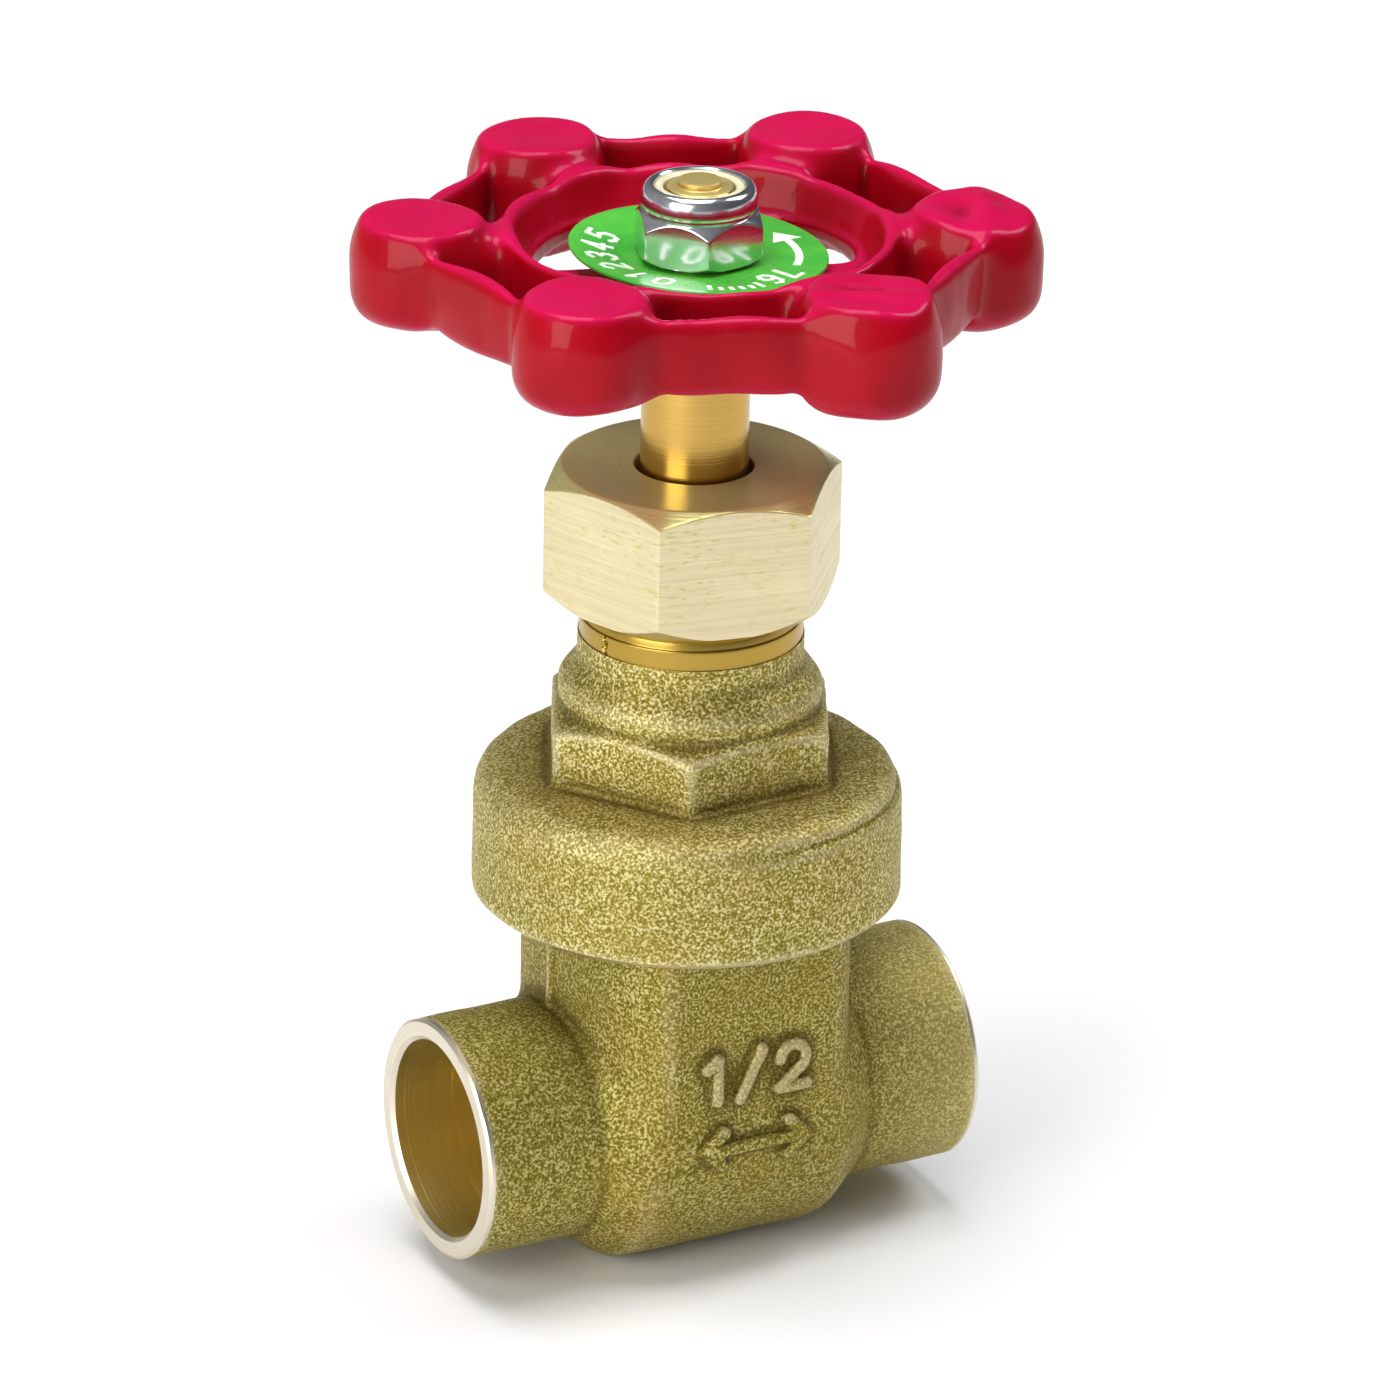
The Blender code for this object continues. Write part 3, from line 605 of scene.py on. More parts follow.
def turned_brass(name, colour, rough, centre_axis="Z", ring_scale=4200.0, strength=0.12, metal=1.0):
    """Face-turned brass: fine rings round an axis."""
    g = Graph(name)
    split = g.add("ShaderNodeSeparateXYZ")
    g.wire(g.where, split.inputs[0])
    a, b, c = {"Z": ("X", "Y", "Z"), "X": ("Y", "Z", "X")}[centre_axis]
    second = split.outputs[b]
    if centre_axis == "X":
        second = g.math("SUBTRACT", split.outputs["Z"], AXIS_Z * 0.001)
    radius = g.math("SQRT", g.math("ADD", g.math("MULTIPLY", split.outputs[a], split.outputs[a]), g.math("MULTIPLY", second, second)))
    place_on = g.add("ShaderNodeCombineXYZ")
    g.wire(g.math("MULTIPLY", radius, ring_scale), place_on.inputs[0])
    g.wire(g.math("MULTIPLY", split.outputs[c], ring_scale), place_on.inputs[1])
    rings = g.noise(1.0, 2.0, 0.6, source=place_on.outputs[0])
    cloud = g.noise(240.0, 3.0, 0.6)
    base = g.mix(g.ramp(rings, [(0.35, 0.0), (0.65, 0.5)]), srgb(*colour), g.mix(0.5, srgb(*colour), srgb(*[v * 0.78 for v in colour])))
    base = g.mix(g.ramp(cloud, [(0.48, 0.0), (0.72, 0.4)]), base, g.mix(0.5, base, srgb(*[v * 0.9 for v in colour])))
    g.set(
        base_color=base,
        metallic=metal,
        roughness=g.math("ADD", g.math("MULTIPLY", rings, rough * 0.5), rough * 0.75),
        normal=g.bump(rings, strength, 0.0001),
    )
    return g.material


def red_paint():
    """Thick dipped crimson enamel: glossy sides with slow runs, a painted magenta sheen on its upward faces, painted
    magenta light on its undersides and painted shade in its creases.
    """
    g = Graph("red_paint_look")
    facing = g.add("ShaderNodeNewGeometry").outputs["Normal"]
    split = g.add("ShaderNodeSeparateXYZ")
    g.wire(facing, split.inputs[0])
    half = g.math("ADD", g.math("MULTIPLY", split.outputs["Z"], 0.5), 0.5)
    # masks by which way a face turns, for a painted sheen on upward faces and painted light on undersides
    top_sheen = g.ramp(half, [(0.66, 0.0), (0.95, 1.0)], smooth=True)
    under = g.ramp(half, [(0.08, 1.0), (0.46, 0.0)], smooth=True)
    cloud = g.noise(130.0, 3.0, 0.55)
    side = g.mix(g.ramp(cloud, [(0.35, 0.0), (0.7, 1.0)]), srgb(160, 3, 22), srgb(142, 2, 17))
    # the red with a painted magenta sheen, for upward faces
    top = g.mix(g.ramp(cloud, [(0.35, 0.0), (0.7, 1.0)]), srgb(190, 6, 72), srgb(178, 5, 60))
    colour = g.mix(top_sheen, side, top)
    # painted magenta bounce light on undersides
    colour = g.mix(g.math("MULTIPLY", under, 0.6), colour, srgb(170, 4, 60))
    # painted shade in creases
    crease_shade = g.ramp(g.stored("crease_shade"), [(0.06, 0.0), (0.55, 0.75)], smooth=True)
    colour = g.mix(crease_shade, colour, srgb(96, 1, 10))
    runs = g.noise(1.0, 2.0, 0.5, source=g.stretch((210.0, 210.0, 90.0)))
    peel = g.noise(900.0, 2.0, 0.5)
    normal = g.bump(runs, 0.30, 0.0010)
    normal = g.bump(peel, 0.05, 0.0003, normal)
    g.set(
        base_color=colour,
        metallic=0.0,
        roughness=g.math("ADD", g.math("MULTIPLY", cloud, 0.10), 0.30),
        normal=normal,
        coat_weight=0.17,
        coat_roughness=0.06,
        coat_ior=1.5,
    )
    g.shader.inputs["Specular IOR Level"].default_value = 0.07
    g.wire(normal, g.shader.inputs["Coat Normal"])
    return g.material


def plated_steel():
    """Bright zinc plate with a few hairline scuffs and a faint bloom."""
    g = Graph("plated_steel_look")
    scuff = g.noise(1.0, 2.0, 0.6, source=g.stretch((400.0, 400.0, 3800.0)))
    cloud = g.noise(420.0, 3.0, 0.6)
    colour = g.mix(g.ramp(cloud, [(0.40, 0.0), (0.70, 1.0)]), srgb(226, 229, 232), srgb(200, 205, 212))
    g.set(
        base_color=colour,
        metallic=1.0,
        roughness=g.math("ADD", g.math("MULTIPLY", cloud, 0.10), 0.12),
        normal=g.bump(scuff, 0.04, 0.0001),
    )
    return g.material


def green_print():
    """Green ink on a thin aluminium disc, a little uneven, with a satin sheen."""
    g = Graph("green_print_look")
    cloud = g.noise(260.0, 3.0, 0.6)
    fine = g.noise(3600.0, 1.0, 0.5)
    colour = g.mix(g.ramp(cloud, [(0.36, 0.0), (0.68, 1.0)]), srgb(86, 188, 62), srgb(56, 168, 52))
    g.set(base_color=colour, metallic=0.0, roughness=g.math("ADD", g.math("MULTIPLY", fine, 0.10), 0.24), normal=g.bump(fine, 0.04, 0.0001), coat_weight=0.12, coat_roughness=0.2)
    return g.material


def white_print():
    g = Graph("white_print_look")
    cloud = g.noise(900.0, 2.0, 0.6)
    g.set(base_color=g.ramp(cloud, [(0.35, srgb(226, 240, 216)), (0.65, srgb(250, 252, 246))]), metallic=0.0, roughness=g.math("ADD", g.math("MULTIPLY", cloud, 0.1), 0.35))
    return g.material


def nylon():
    g = Graph("nylon_look")
    cloud = g.noise(700.0, 3.0, 0.6)
    g.set(
        base_color=g.ramp(cloud, [(0.35, srgb(206, 198, 160)), (0.65, srgb(226, 220, 188))]),
        metallic=0.0,
        roughness=g.math("ADD", g.math("MULTIPLY", cloud, 0.15), 0.35),
        normal=g.bump(cloud, 0.1, 0.0001),
        subsurface_weight=0.15,
    )
    g.shader.inputs["Subsurface Radius"].default_value = (0.0006, 0.0005, 0.0004)
    return g.material


def packing():
    """Braided graphite packing: a dark weave with a dull shine."""
    g = Graph("packing_look")
    braid = g.add("ShaderNodeTexWave", wave_type="BANDS", bands_direction="DIAGONAL")
    braid.inputs["Scale"].default_value = 420.0
    braid.inputs["Distortion"].default_value = 1.5
    g.wire(g.where, braid.inputs["Vector"])
    fibre = g.noise(3000.0, 2.0, 0.6)
    weave = braid.outputs["Fac"]
    g.set(
        base_color=g.mix(g.ramp(weave, [(0.2, 0.0), (0.8, 1.0)]), (0.012, 0.012, 0.014), (0.07, 0.07, 0.075)),
        metallic=0.2,
        roughness=g.math("ADD", g.math("MULTIPLY", fibre, 0.2), 0.55),
        normal=g.bump(g.math("ADD", weave, g.math("MULTIPLY", fibre, 0.4)), 0.5, 0.0002),
    )
    return g.material


def fibre():
    g = Graph("fibre_gasket_look")
    strands = g.noise(1400.0, 4.0, 0.7)
    g.set(
        base_color=g.ramp(strands, [(0.35, (0.16, 0.05, 0.03)), (0.65, (0.34, 0.13, 0.08))]),
        metallic=0.0,
        roughness=g.math("ADD", g.math("MULTIPLY", strands, 0.2), 0.65),
        normal=g.bump(strands, 0.4, 0.0001),
    )
    return g.material


def pale_floor():
    g = Graph("floor_look")
    cloud = g.noise(3.0, 2.0, 0.5)
    g.set(base_color=g.ramp(cloud, [(0.3, (0.86, 0.855, 0.86)), (0.7, (0.88, 0.875, 0.88))]), metallic=0.0, roughness=0.65)
    g.shader.inputs["Specular IOR Level"].default_value = 0.2
    # the lamps don't reach the far floor, so it is lifted there to stay as pale as the rest
    split = g.add("ShaderNodeSeparateXYZ")
    g.wire(g.where, split.inputs[0])
    away = g.math("SQRT", g.math("ADD", g.math("POWER", split.outputs["X"], 2.0), g.math("POWER", split.outputs["Y"], 2.0)))
    far = g.math("MULTIPLY", away, 1.0 / 3.0)
    lift = g.ramp(far, [(0.073, (0.0, 0.0, 0.0)), (0.267, (0.46, 0.46, 0.47)), (0.85, (0.545, 0.545, 0.555))], smooth=True)
    g.wire(lift, g.shader.inputs["Emission Color"])
    g.shader.inputs["Emission Strength"].default_value = 1.0
    return g.material


CAST = cast_brass("cast_brass_bonnet", 0.99, 0.97, 0.46)
CAST_BODY = cast_brass("cast_brass_body", 0.90, 0.80, 0.56, lit_right_socket=True)
NUT_SIDE = machined_brass("nut_side_look", (226, 213, 172), 0.42, True, stain=0.60, line_strength=0.06)
NUT_TOP = turned_brass("nut_top_look", (228, 222, 148), 0.25, metal=0.55)
STEM_BRASS = turned_brass("stem_look", (200, 162, 84), 0.24, ring_scale=5200.0, strength=0.16)
STEM_END = turned_brass("stem_end_look", (208, 188, 118), 0.44, ring_scale=5200.0, strength=0.16, metal=0.7)
GOLD_RING = turned_brass("thread_look", (176, 146, 66), 0.30)
BORE = turned_brass("bore_look", (244, 226, 158), 0.34, "X", 2400.0, 0.50)
END_FACE = turned_brass("end_face_look", (226, 218, 198), 0.40, "X", 5200.0, 0.08)
SEAT = machined_brass("seat_look", (214, 184, 112), 0.34, True)
PAINT = red_paint()
PLATED = plated_steel()
GREEN = green_print()
WHITE = white_print()
NYLON = nylon()
PACKING = packing()
FIBRE = fibre()


def coat(obj, *materials):
    obj.data.materials.clear()
    for material in materials:
        obj.data.materials.append(material)
    return obj


def by_face(obj, choose):
    """Gives each face the material that choose(centre in mm, normal) numbers."""
    mesh = obj.data
    count = len(mesh.polygons)
    centre = np.empty(count * 3, np.float32)
    normal = np.empty(count * 3, np.float32)
    mesh.polygons.foreach_get("center", centre)
    mesh.polygons.foreach_get("normal", normal)
    centre = centre.reshape(-1, 3).astype(float) * 1000.0
    centre[:, 2] -= AXIS_Z
    mesh.polygons.foreach_set("material_index", choose(centre, normal.reshape(-1, 3)).astype(np.int32))
    mesh.update()


# ---- body -------------------------------------------------------------------------------
BODY_R = 12.15


def size_mark(x, z):
    """Raised 1/2 over a double-headed flow arrow: distance from the strokes' middle lines."""
    d = segment2(x, z, -3.55, 4.9, -3.55, 8.5)
    d = np.minimum(d, segment2(x, z, -3.55, 8.5, -4.45, 7.75))
    d = np.minimum(d, segment2(x, z, -1.55, 4.7, 0.35, 8.7))
    # the figure 2: a bowl, a diagonal and a foot
    bowl = np.abs(np.hypot(x - 3.1, z - 7.4) - 1.12)
    open_side = (z < 7.4) & (x < 3.1 + 0.2)
    d2 = np.where(open_side, 9.0, bowl)
    d2 = np.where((z < 6.9) & (x >= 3.3), 9.0, d2)
    d2 = np.minimum(d2, np.hypot(x - 1.98, z - 7.4))
    d2 = np.minimum(d2, segment2(x, z, 4.05, 6.8, 2.0, 4.95))
    d2 = np.minimum(d2, segment2(x, z, 2.0, 4.95, 4.35, 4.95))
    d = np.minimum(d, d2)
    # the arrow
    d = np.minimum(d, segment2(x, z, -4.4, 0.6, 4.4, 0.6))
    for side in (-1.0, 1.0):
        for lean in (-1.0, 1.0):
            d = np.minimum(d, segment2(x, z, side * 4.4, 0.6, side * 2.9, 0.6 + lean * 1.45))
    return d


def body_field(x, y, z):
    ax, ay = np.abs(x), np.abs(y)
    # flat-sided part: sides bulge towards the parting line, with a low ridge on it
    t = np.minimum(ay / 10.2, 1.3)
    bulge = 12.0 - 2.7 * (0.25 * t + 0.75 * t**3)
    ridge = 0.34 * np.exp(-((y / 0.38) ** 2))
    side = (ax - bulge - ridge) * 0.94
    block = smax(side, ay - 12.2, 0.85)
    block = smax(block, 0.2 - z, 0.8)
    # the drum about the pipe's axis
    rho = np.hypot(y, z)
    drum = smax(rho - BODY_R, ax - 9.45, 1.9)
    flare = smax(0.60 * (ax - 11.95) + 0.80 * (rho - 9.65), rho - 11.75, 0.5)
    flare = np.maximum(flare, ax - 13.0)
    form = smin(block, drum, 0.8)
    form = smin(form, flare, 0.4)
    # the flat that it stands on
    form = smax(form, -z - AXIS_Z, 0.25)
    stroke = smax(size_mark(x, z) - 0.50, form - 0.70, 0.40)
    stroke = np.maximum(stroke, y + 8.0)
    form = smin(form, stroke, 0.22)
    socket = rho - 9.65
    form = smin(form, np.maximum(socket, ax - END_X - 1.2), 0.3)
    # collar under the bonnet's skirt and the threaded neck
    r = np.hypot(x, y)
    waist = np.maximum(r - 14.4, 17.9 - z)
    form = smax(form, z - 18.4, 0.15)
    form = smin(form, np.maximum(waist, z - 19.5), 0.5)
    neck = np.maximum(np.maximum(r - 14.7, z - NECK_TOP), 17.9 - z)
    form = np.minimum(form, neck)
    return form + 0.05 * np.sin(x * 1.1 + 0.4) * np.sin(y * 0.9 + 1.7) * np.sin(z * 1.3 + 0.3)


body = formed("body_casting", body_field, (-24.1, -15.4, -12.6), (24.1, 15.4, 24.8), 0.25)

# square ends, turned with a small edge break
trim = swept(
    "trim",
    [(9.42, -END_X), (9.80, -END_X + 0.34), (40.0, -END_X + 6.0), (40.0, END_X - 6.0), (9.80, END_X - 0.34), (9.42, END_X)],
    160,
    along="X",
)
combine(body, trim, "INTERSECT")

# inside: the gate's chamber with its seats, then the bores
chamber = prism(
    "chamber", arc(0.0, 0.0, 9.4, 180.0, 360.0, 48) + [(9.4, NECK_TOP + 1.0), (-9.4, NECK_TOP + 1.0)], -5.4, 5.4, "X"
)
combine(chamber, swept("mouth", [(10.6, NECK_TOP + 1.0), (10.6, 17.5), (9.4, 16.3)], 96), "UNION")
lean = math.tan(math.radians(2.5))
for side in (-1, 1):
    ring = swept("seat", [(7.9, 6.2), (7.9, 3.2)], 96, along="X" if side > 0 else "-X")
    inner = [(side * (4.75 - lean * 20.0), -20.0), (side * (4.75 + lean * 20.0), 20.0), (side * -14.0, 20.0), (side * -14.0, -20.0)]
    wedge = new_object(
        "wedge",
        place([(x, y, z) for y in (-12.0, 12.0) for x, z in inner]).tolist(),
        [(0, 1, 2, 3), (7, 6, 5, 4)] + [(i, 4 + i, 4 + (i + 1) % 4, (i + 1) % 4) for i in range(4)],
    )
    outward(wedge)
    combine(ring, wedge, "DIFFERENCE")
    combine(chamber, ring, "DIFFERENCE")
for side in (-1, 1):
    rib = prism("rib", [(side * 7.95, -2.0), (side * 10.5, -2.0), (side * 10.5, 16.5), (side * 7.95, 16.5)], -1.0, 1.0, "X")
    combine(chamber, rib, "DIFFERENCE")
combine(body, chamber, "DIFFERENCE")
bore_rows = [
    (12.0, END_X + 3.7), (7.975, END_X - 0.32), (7.975, 9.25), (6.35, 9.25),
    (6.35, -9.25), (7.975, -9.25), (7.975, -END_X + 0.32), (12.0, -END_X - 3.7),
]
combine(body, swept("bore", bore_rows, 160, along="X"), "DIFFERENCE")


def body_faces(centre, normal):
    x, y, z = centre.T
    rho = np.hypot(y, z)
    kind = np.zeros(len(centre))
    kind[(np.abs(x) > END_X - 0.36) & (rho > 7.9)] = 2
    kind[(rho < 8.02) & (np.abs(x) > 5.3)] = 1
    kind[(np.abs(x) > END_X - 0.36) & (rho < 8.4)] = 2
    inside = (np.abs(x) < 5.45) & (np.hypot(x * 0.0, y) < 10.7) & (rho < 9.5)
    kind[inside & (np.abs(np.abs(x) - 4.75) < 0.75) & (rho < 8.0)] = 3
    kind[(z > 18.5)] = 3
    return kind


coat(body, CAST_BODY, BORE, END_FACE, SEAT)
store_shading_masks(
    body,
    body_field,
    1.5,
    lambda x, y, z: np.exp(-(((z - 0.4) / 1.9) ** 4)) * (np.abs(x) < 9.4) * (np.abs(y) > 9.0),
)
by_face(body, body_faces)
shade(body, 38.0)
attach(body, VALVE)
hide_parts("body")

# ---- bonnet -----------------------------------------------------------------------------
HEX_CORNER, HEX_TURN, HEX_TOP = 12.45, -117.0, 34.5


def bonnet_field(x, y, z):
    r = np.hypot(x, y)
    skirt = r - (17.0 - 0.013 * (z - 18.1))
    dome = (z - (28.95 - 0.75 * np.clip((r - 11.0) / 5.2, 0.0, 2.0) ** 2)) * 0.96
    skirt = smax(skirt, dome, 2.0)
    # a faint crease where the two halves of the pattern meet, on the right of the flat front
    facing = np.clip((r * np.cos(np.arctan2(y, x) - math.radians(-55.0)) - 10.5) / 4.0, 0.0, 1.0)
    skirt = skirt + 0.24 * facing * np.exp(-(((z - 27.1) / 0.32) ** 2))
    apothem = HEX_CORNER * math.cos(math.radians(30.0))
    hexa = None
    for k in range(3):
        a = math.radians(HEX_TURN + 30.0 + 60.0 * k)
        d = np.abs(x * math.cos(a) + y * math.sin(a)) - apothem
        hexa = d if hexa is None else smax(hexa, d, 0.5)
    cone = (r - 10.78) * 0.38 + (z - 33.85) * 0.925
    hexa = smax(hexa, cone, 0.35)
    hexa = np.maximum(hexa, z - 36.0)
    shoulder = smax(r - 10.52 + 0.24 * np.exp(-(((z - 34.1) / 1.1) ** 2)), z - 36.95, 2.4)
    neck = np.maximum(r - 8.88, z - 41.5)
    tower = smin(hexa, shoulder, 0.6)
    tower = smin(tower, neck, 1.5)
    form = smin(skirt, tower, 0.5)
    form = np.maximum(form, 17.0 - z)
    return form + 0.05 * np.sin(x * 1.0 + 1.4) * np.sin(y * 1.1 + 0.7) * np.sin(z * 1.2 + 2.3)


bonnet = formed("bonnet_casting", bonnet_field, (-17.8, -17.8, 16.6), (17.8, 17.8, 42.0), 0.25)
outer = swept(
    "outer",
    [(9.4, 39.75), (30.0, 39.75), (30.0, 19.0), (17.4, 18.85), (16.65, 18.1)],
    192,
)
combine(bonnet, outer, "INTERSECT")
# the machined end of the neck, with the start of the thread for the packing nut
PITCH = 1.25


def nick(angle, h):
    """A small crack in the turned band, as on the part photographed."""
    middle = math.radians(-167.2) + 0.020 * math.sin(h * 7.0) + 0.012 * math.sin(h * 17.0)
    away = (angle - middle + math.pi) % (2.0 * math.pi) - math.pi
    return 0.42 * np.exp(-((away / 0.011) ** 2))


def band_radius(radius):
    return lambda angle, h: radius - nick(angle, h)


def thread_radius(angle, h):
    turns = (h - 42.35) / PITCH - angle / (2.0 * math.pi)
    phase = np.abs((turns - np.floor(turns)) - 0.5) * 2.0
    ridge = 8.30 - 0.62 * np.clip(1.15 - phase * 1.5, 0.0, 1.0)
    fade = np.clip((h - 42.6 - 0.35 * angle / (2.0 * math.pi)) / 0.35, 0.0, 1.0)
    return 8.34 * (1 - fade) + ridge * fade


rows = [(8.2, 39.4), (8.60, 39.5), (8.78, 39.7)]
rows += [(band_radius(8.80), 39.8 + 0.142 * i) for i in range(11)]
rows += [(8.77, 41.30), (8.63, 41.33), (8.60, 41.40), (8.60, 41.86), (8.56, 41.94), (8.36, 42.16)]
rows += [(thread_radius, 42.3 + 0.1 * i) for i in range(46)] + [(7.7, 47.0)]
neck = swept("bonnet_thread_end", rows, 540)
combine(bonnet, neck, "UNION")
inner = swept(
    "inner",
    [(16.0, 17.0), (15.45, 18.1), (15.05, 18.6), (15.05, 25.3), (9.1, 25.3), (9.1, 28.8), (8.3, 29.6), (3.85, 29.6), (3.85, 32.5), (6.6, 32.5), (6.6, 46.6), (7.2, 48.0)],
    128,
)
combine(bonnet, inner, "DIFFERENCE")


def bonnet_faces(centre, normal):
    x, y, z = centre.T
    r = np.hypot(x, y)
    kind = np.zeros(len(centre))
    kind[z > 39.74] = 1
    kind[(z < 18.84) & (normal[:, 2] < -0.3)] = 2
    kind[(r < 15.2) & (z < 25.4)] = 1
    kind[(r < 9.2) & (z < 29.7)] = 1
    kind[(r < 6.7)] = 1
    return kind


coat(bonnet, CAST, GOLD_RING, NUT_SIDE)
store_shading_masks(bonnet, bonnet_field, 1.3)
by_face(bonnet, bonnet_faces)
shade(bonnet, 38.0)
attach(bonnet, VALVE)
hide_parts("bonnet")

# ---- packing nut ------------------------------------------------------------------------
NUT_BOTTOM, NUT_TOP_Z, NUT_CORNER, NUT_TURN = 43.0, 53.6, 12.18, -70.3


def nut_reach(angle, h):
    flat = hexagon_reach(NUT_CORNER, NUT_TURN, angle, 0.16)
    top = 10.30 + (NUT_TOP_Z - h) * 1.72
    low = 10.62 + (h - NUT_BOTTOM) * 1.25
    cone = smin(np.full_like(angle, top), np.full_like(angle, low), 0.05)
    return smin(flat, cone, 0.10)


levels = [NUT_TOP_Z - 0.02 - 0.055 * i for i in range(26)]
levels += list(np.linspace(levels[-1] - 0.3, NUT_BOTTOM + 1.7, 12))
levels += [NUT_BOTTOM + 1.6 - 0.055 * i for i in range(29)]
rows = [(4.75, NUT_TOP_Z), (6.5, NUT_TOP_Z), (8.5, NUT_TOP_Z), (10.0, NUT_TOP_Z), (10.22, NUT_TOP_Z)]
rows += [(nut_reach, h) for h in levels]
rows += [(10.1, NUT_BOTTOM), (9.6, NUT_BOTTOM), (9.45, NUT_BOTTOM + 0.02), (9.2, NUT_BOTTOM + 0.3), (8.75, 43.8)]
rows += [(8.7, 44.4), (8.7, 50.1), (8.6, 50.2), (4.75, 50.2), (4.65, 50.3), (4.65, 53.45)]
nut = swept("packing_nut_hex", rows, 360, closed=True, turn=NUT_TURN)


def nut_faces(centre, normal):
    x, y, z = centre.T
    r = np.hypot(x, y)
    kind = np.zeros(len(centre))
    kind[normal[:, 2] > 0.35] = 1
    kind[(r < 9.3) & (z < 53.55)] = 1
    return kind


coat(nut, NUT_SIDE, NUT_TOP)
by_face(nut, nut_faces)
shade(nut, 24.0)
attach(nut, VALVE)
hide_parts("packing_nut")

# ---- stem -------------------------------------------------------------------------------
LEAD = 2.5
STEM_R = 4.22


def screw_radius(angle, h):
    """The left-hand trapezoidal thread below the collar."""
    turns = (h - 9.1) / LEAD + angle / (2.0 * math.pi) - 4.0 / 360.0
    near = np.abs((turns - np.round(turns)) * LEAD)
    ridge = np.clip((0.62 - near) / 0.30, 0.0, 1.0)
    return 2.5 + 0.9 * ridge


def square_radius(angle, h):
    half, corner = 2.6, math.radians(WHEEL_TURN)
    a = angle - corner
    reach = half / np.maximum(np.abs(np.cos(a)), np.abs(np.sin(a)))
    return np.minimum(reach, 3.5)


stem_rows = [(0.9, STEM_TOP), (1.50, STEM_TOP), (1.62, STEM_TOP - 0.03), (1.69, STEM_TOP - 0.12), (1.72, STEM_TOP - 0.44), (1.80, STEM_TOP - 0.52), (2.38, STEM_TOP - 0.56), (2.52, STEM_TOP - 0.62), (2.65, STEM_TOP - 0.80)]
stem_rows += [(2.65, 70.0), (2.62, 69.8)]
stem_rows += [(square_radius, 69.75), (square_radius, 63.15)]
stem_rows += eased([(3.7, 63.1), (4.0, 63.0), (STEM_R, 62.8), (STEM_R, 54.2), (STEM_R, 53.4), (STEM_R, 35.75)], 0.1)[1:]
stem_rows += eased([(STEM_R, 35.7), (6.2, 35.7), (6.2, 33.7), (3.4, 33.7), (3.4, 28.9)], 0.12)
stem_rows += [(screw_radius, 28.4 - 0.1 * i) for i in range(200)]
stem_rows += [(2.5, 8.2), (2.0, 7.6)]
stem = swept("stem_shaft", stem_rows, 120)
coat(stem, STEM_BRASS, STEM_END)
by_face(stem, lambda c, n: (n[:, 2] > 0.6) & (c[:, 2] > STEM_TOP - 2.0))
shade(stem, 32.0)
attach(stem, STEM)
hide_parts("stem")

# ---- handwheel --------------------------------------------------------------------------
HOLE_MIDDLES = [WHEEL_TURN - 30.0 + 120.0 * k for k in range(3)]


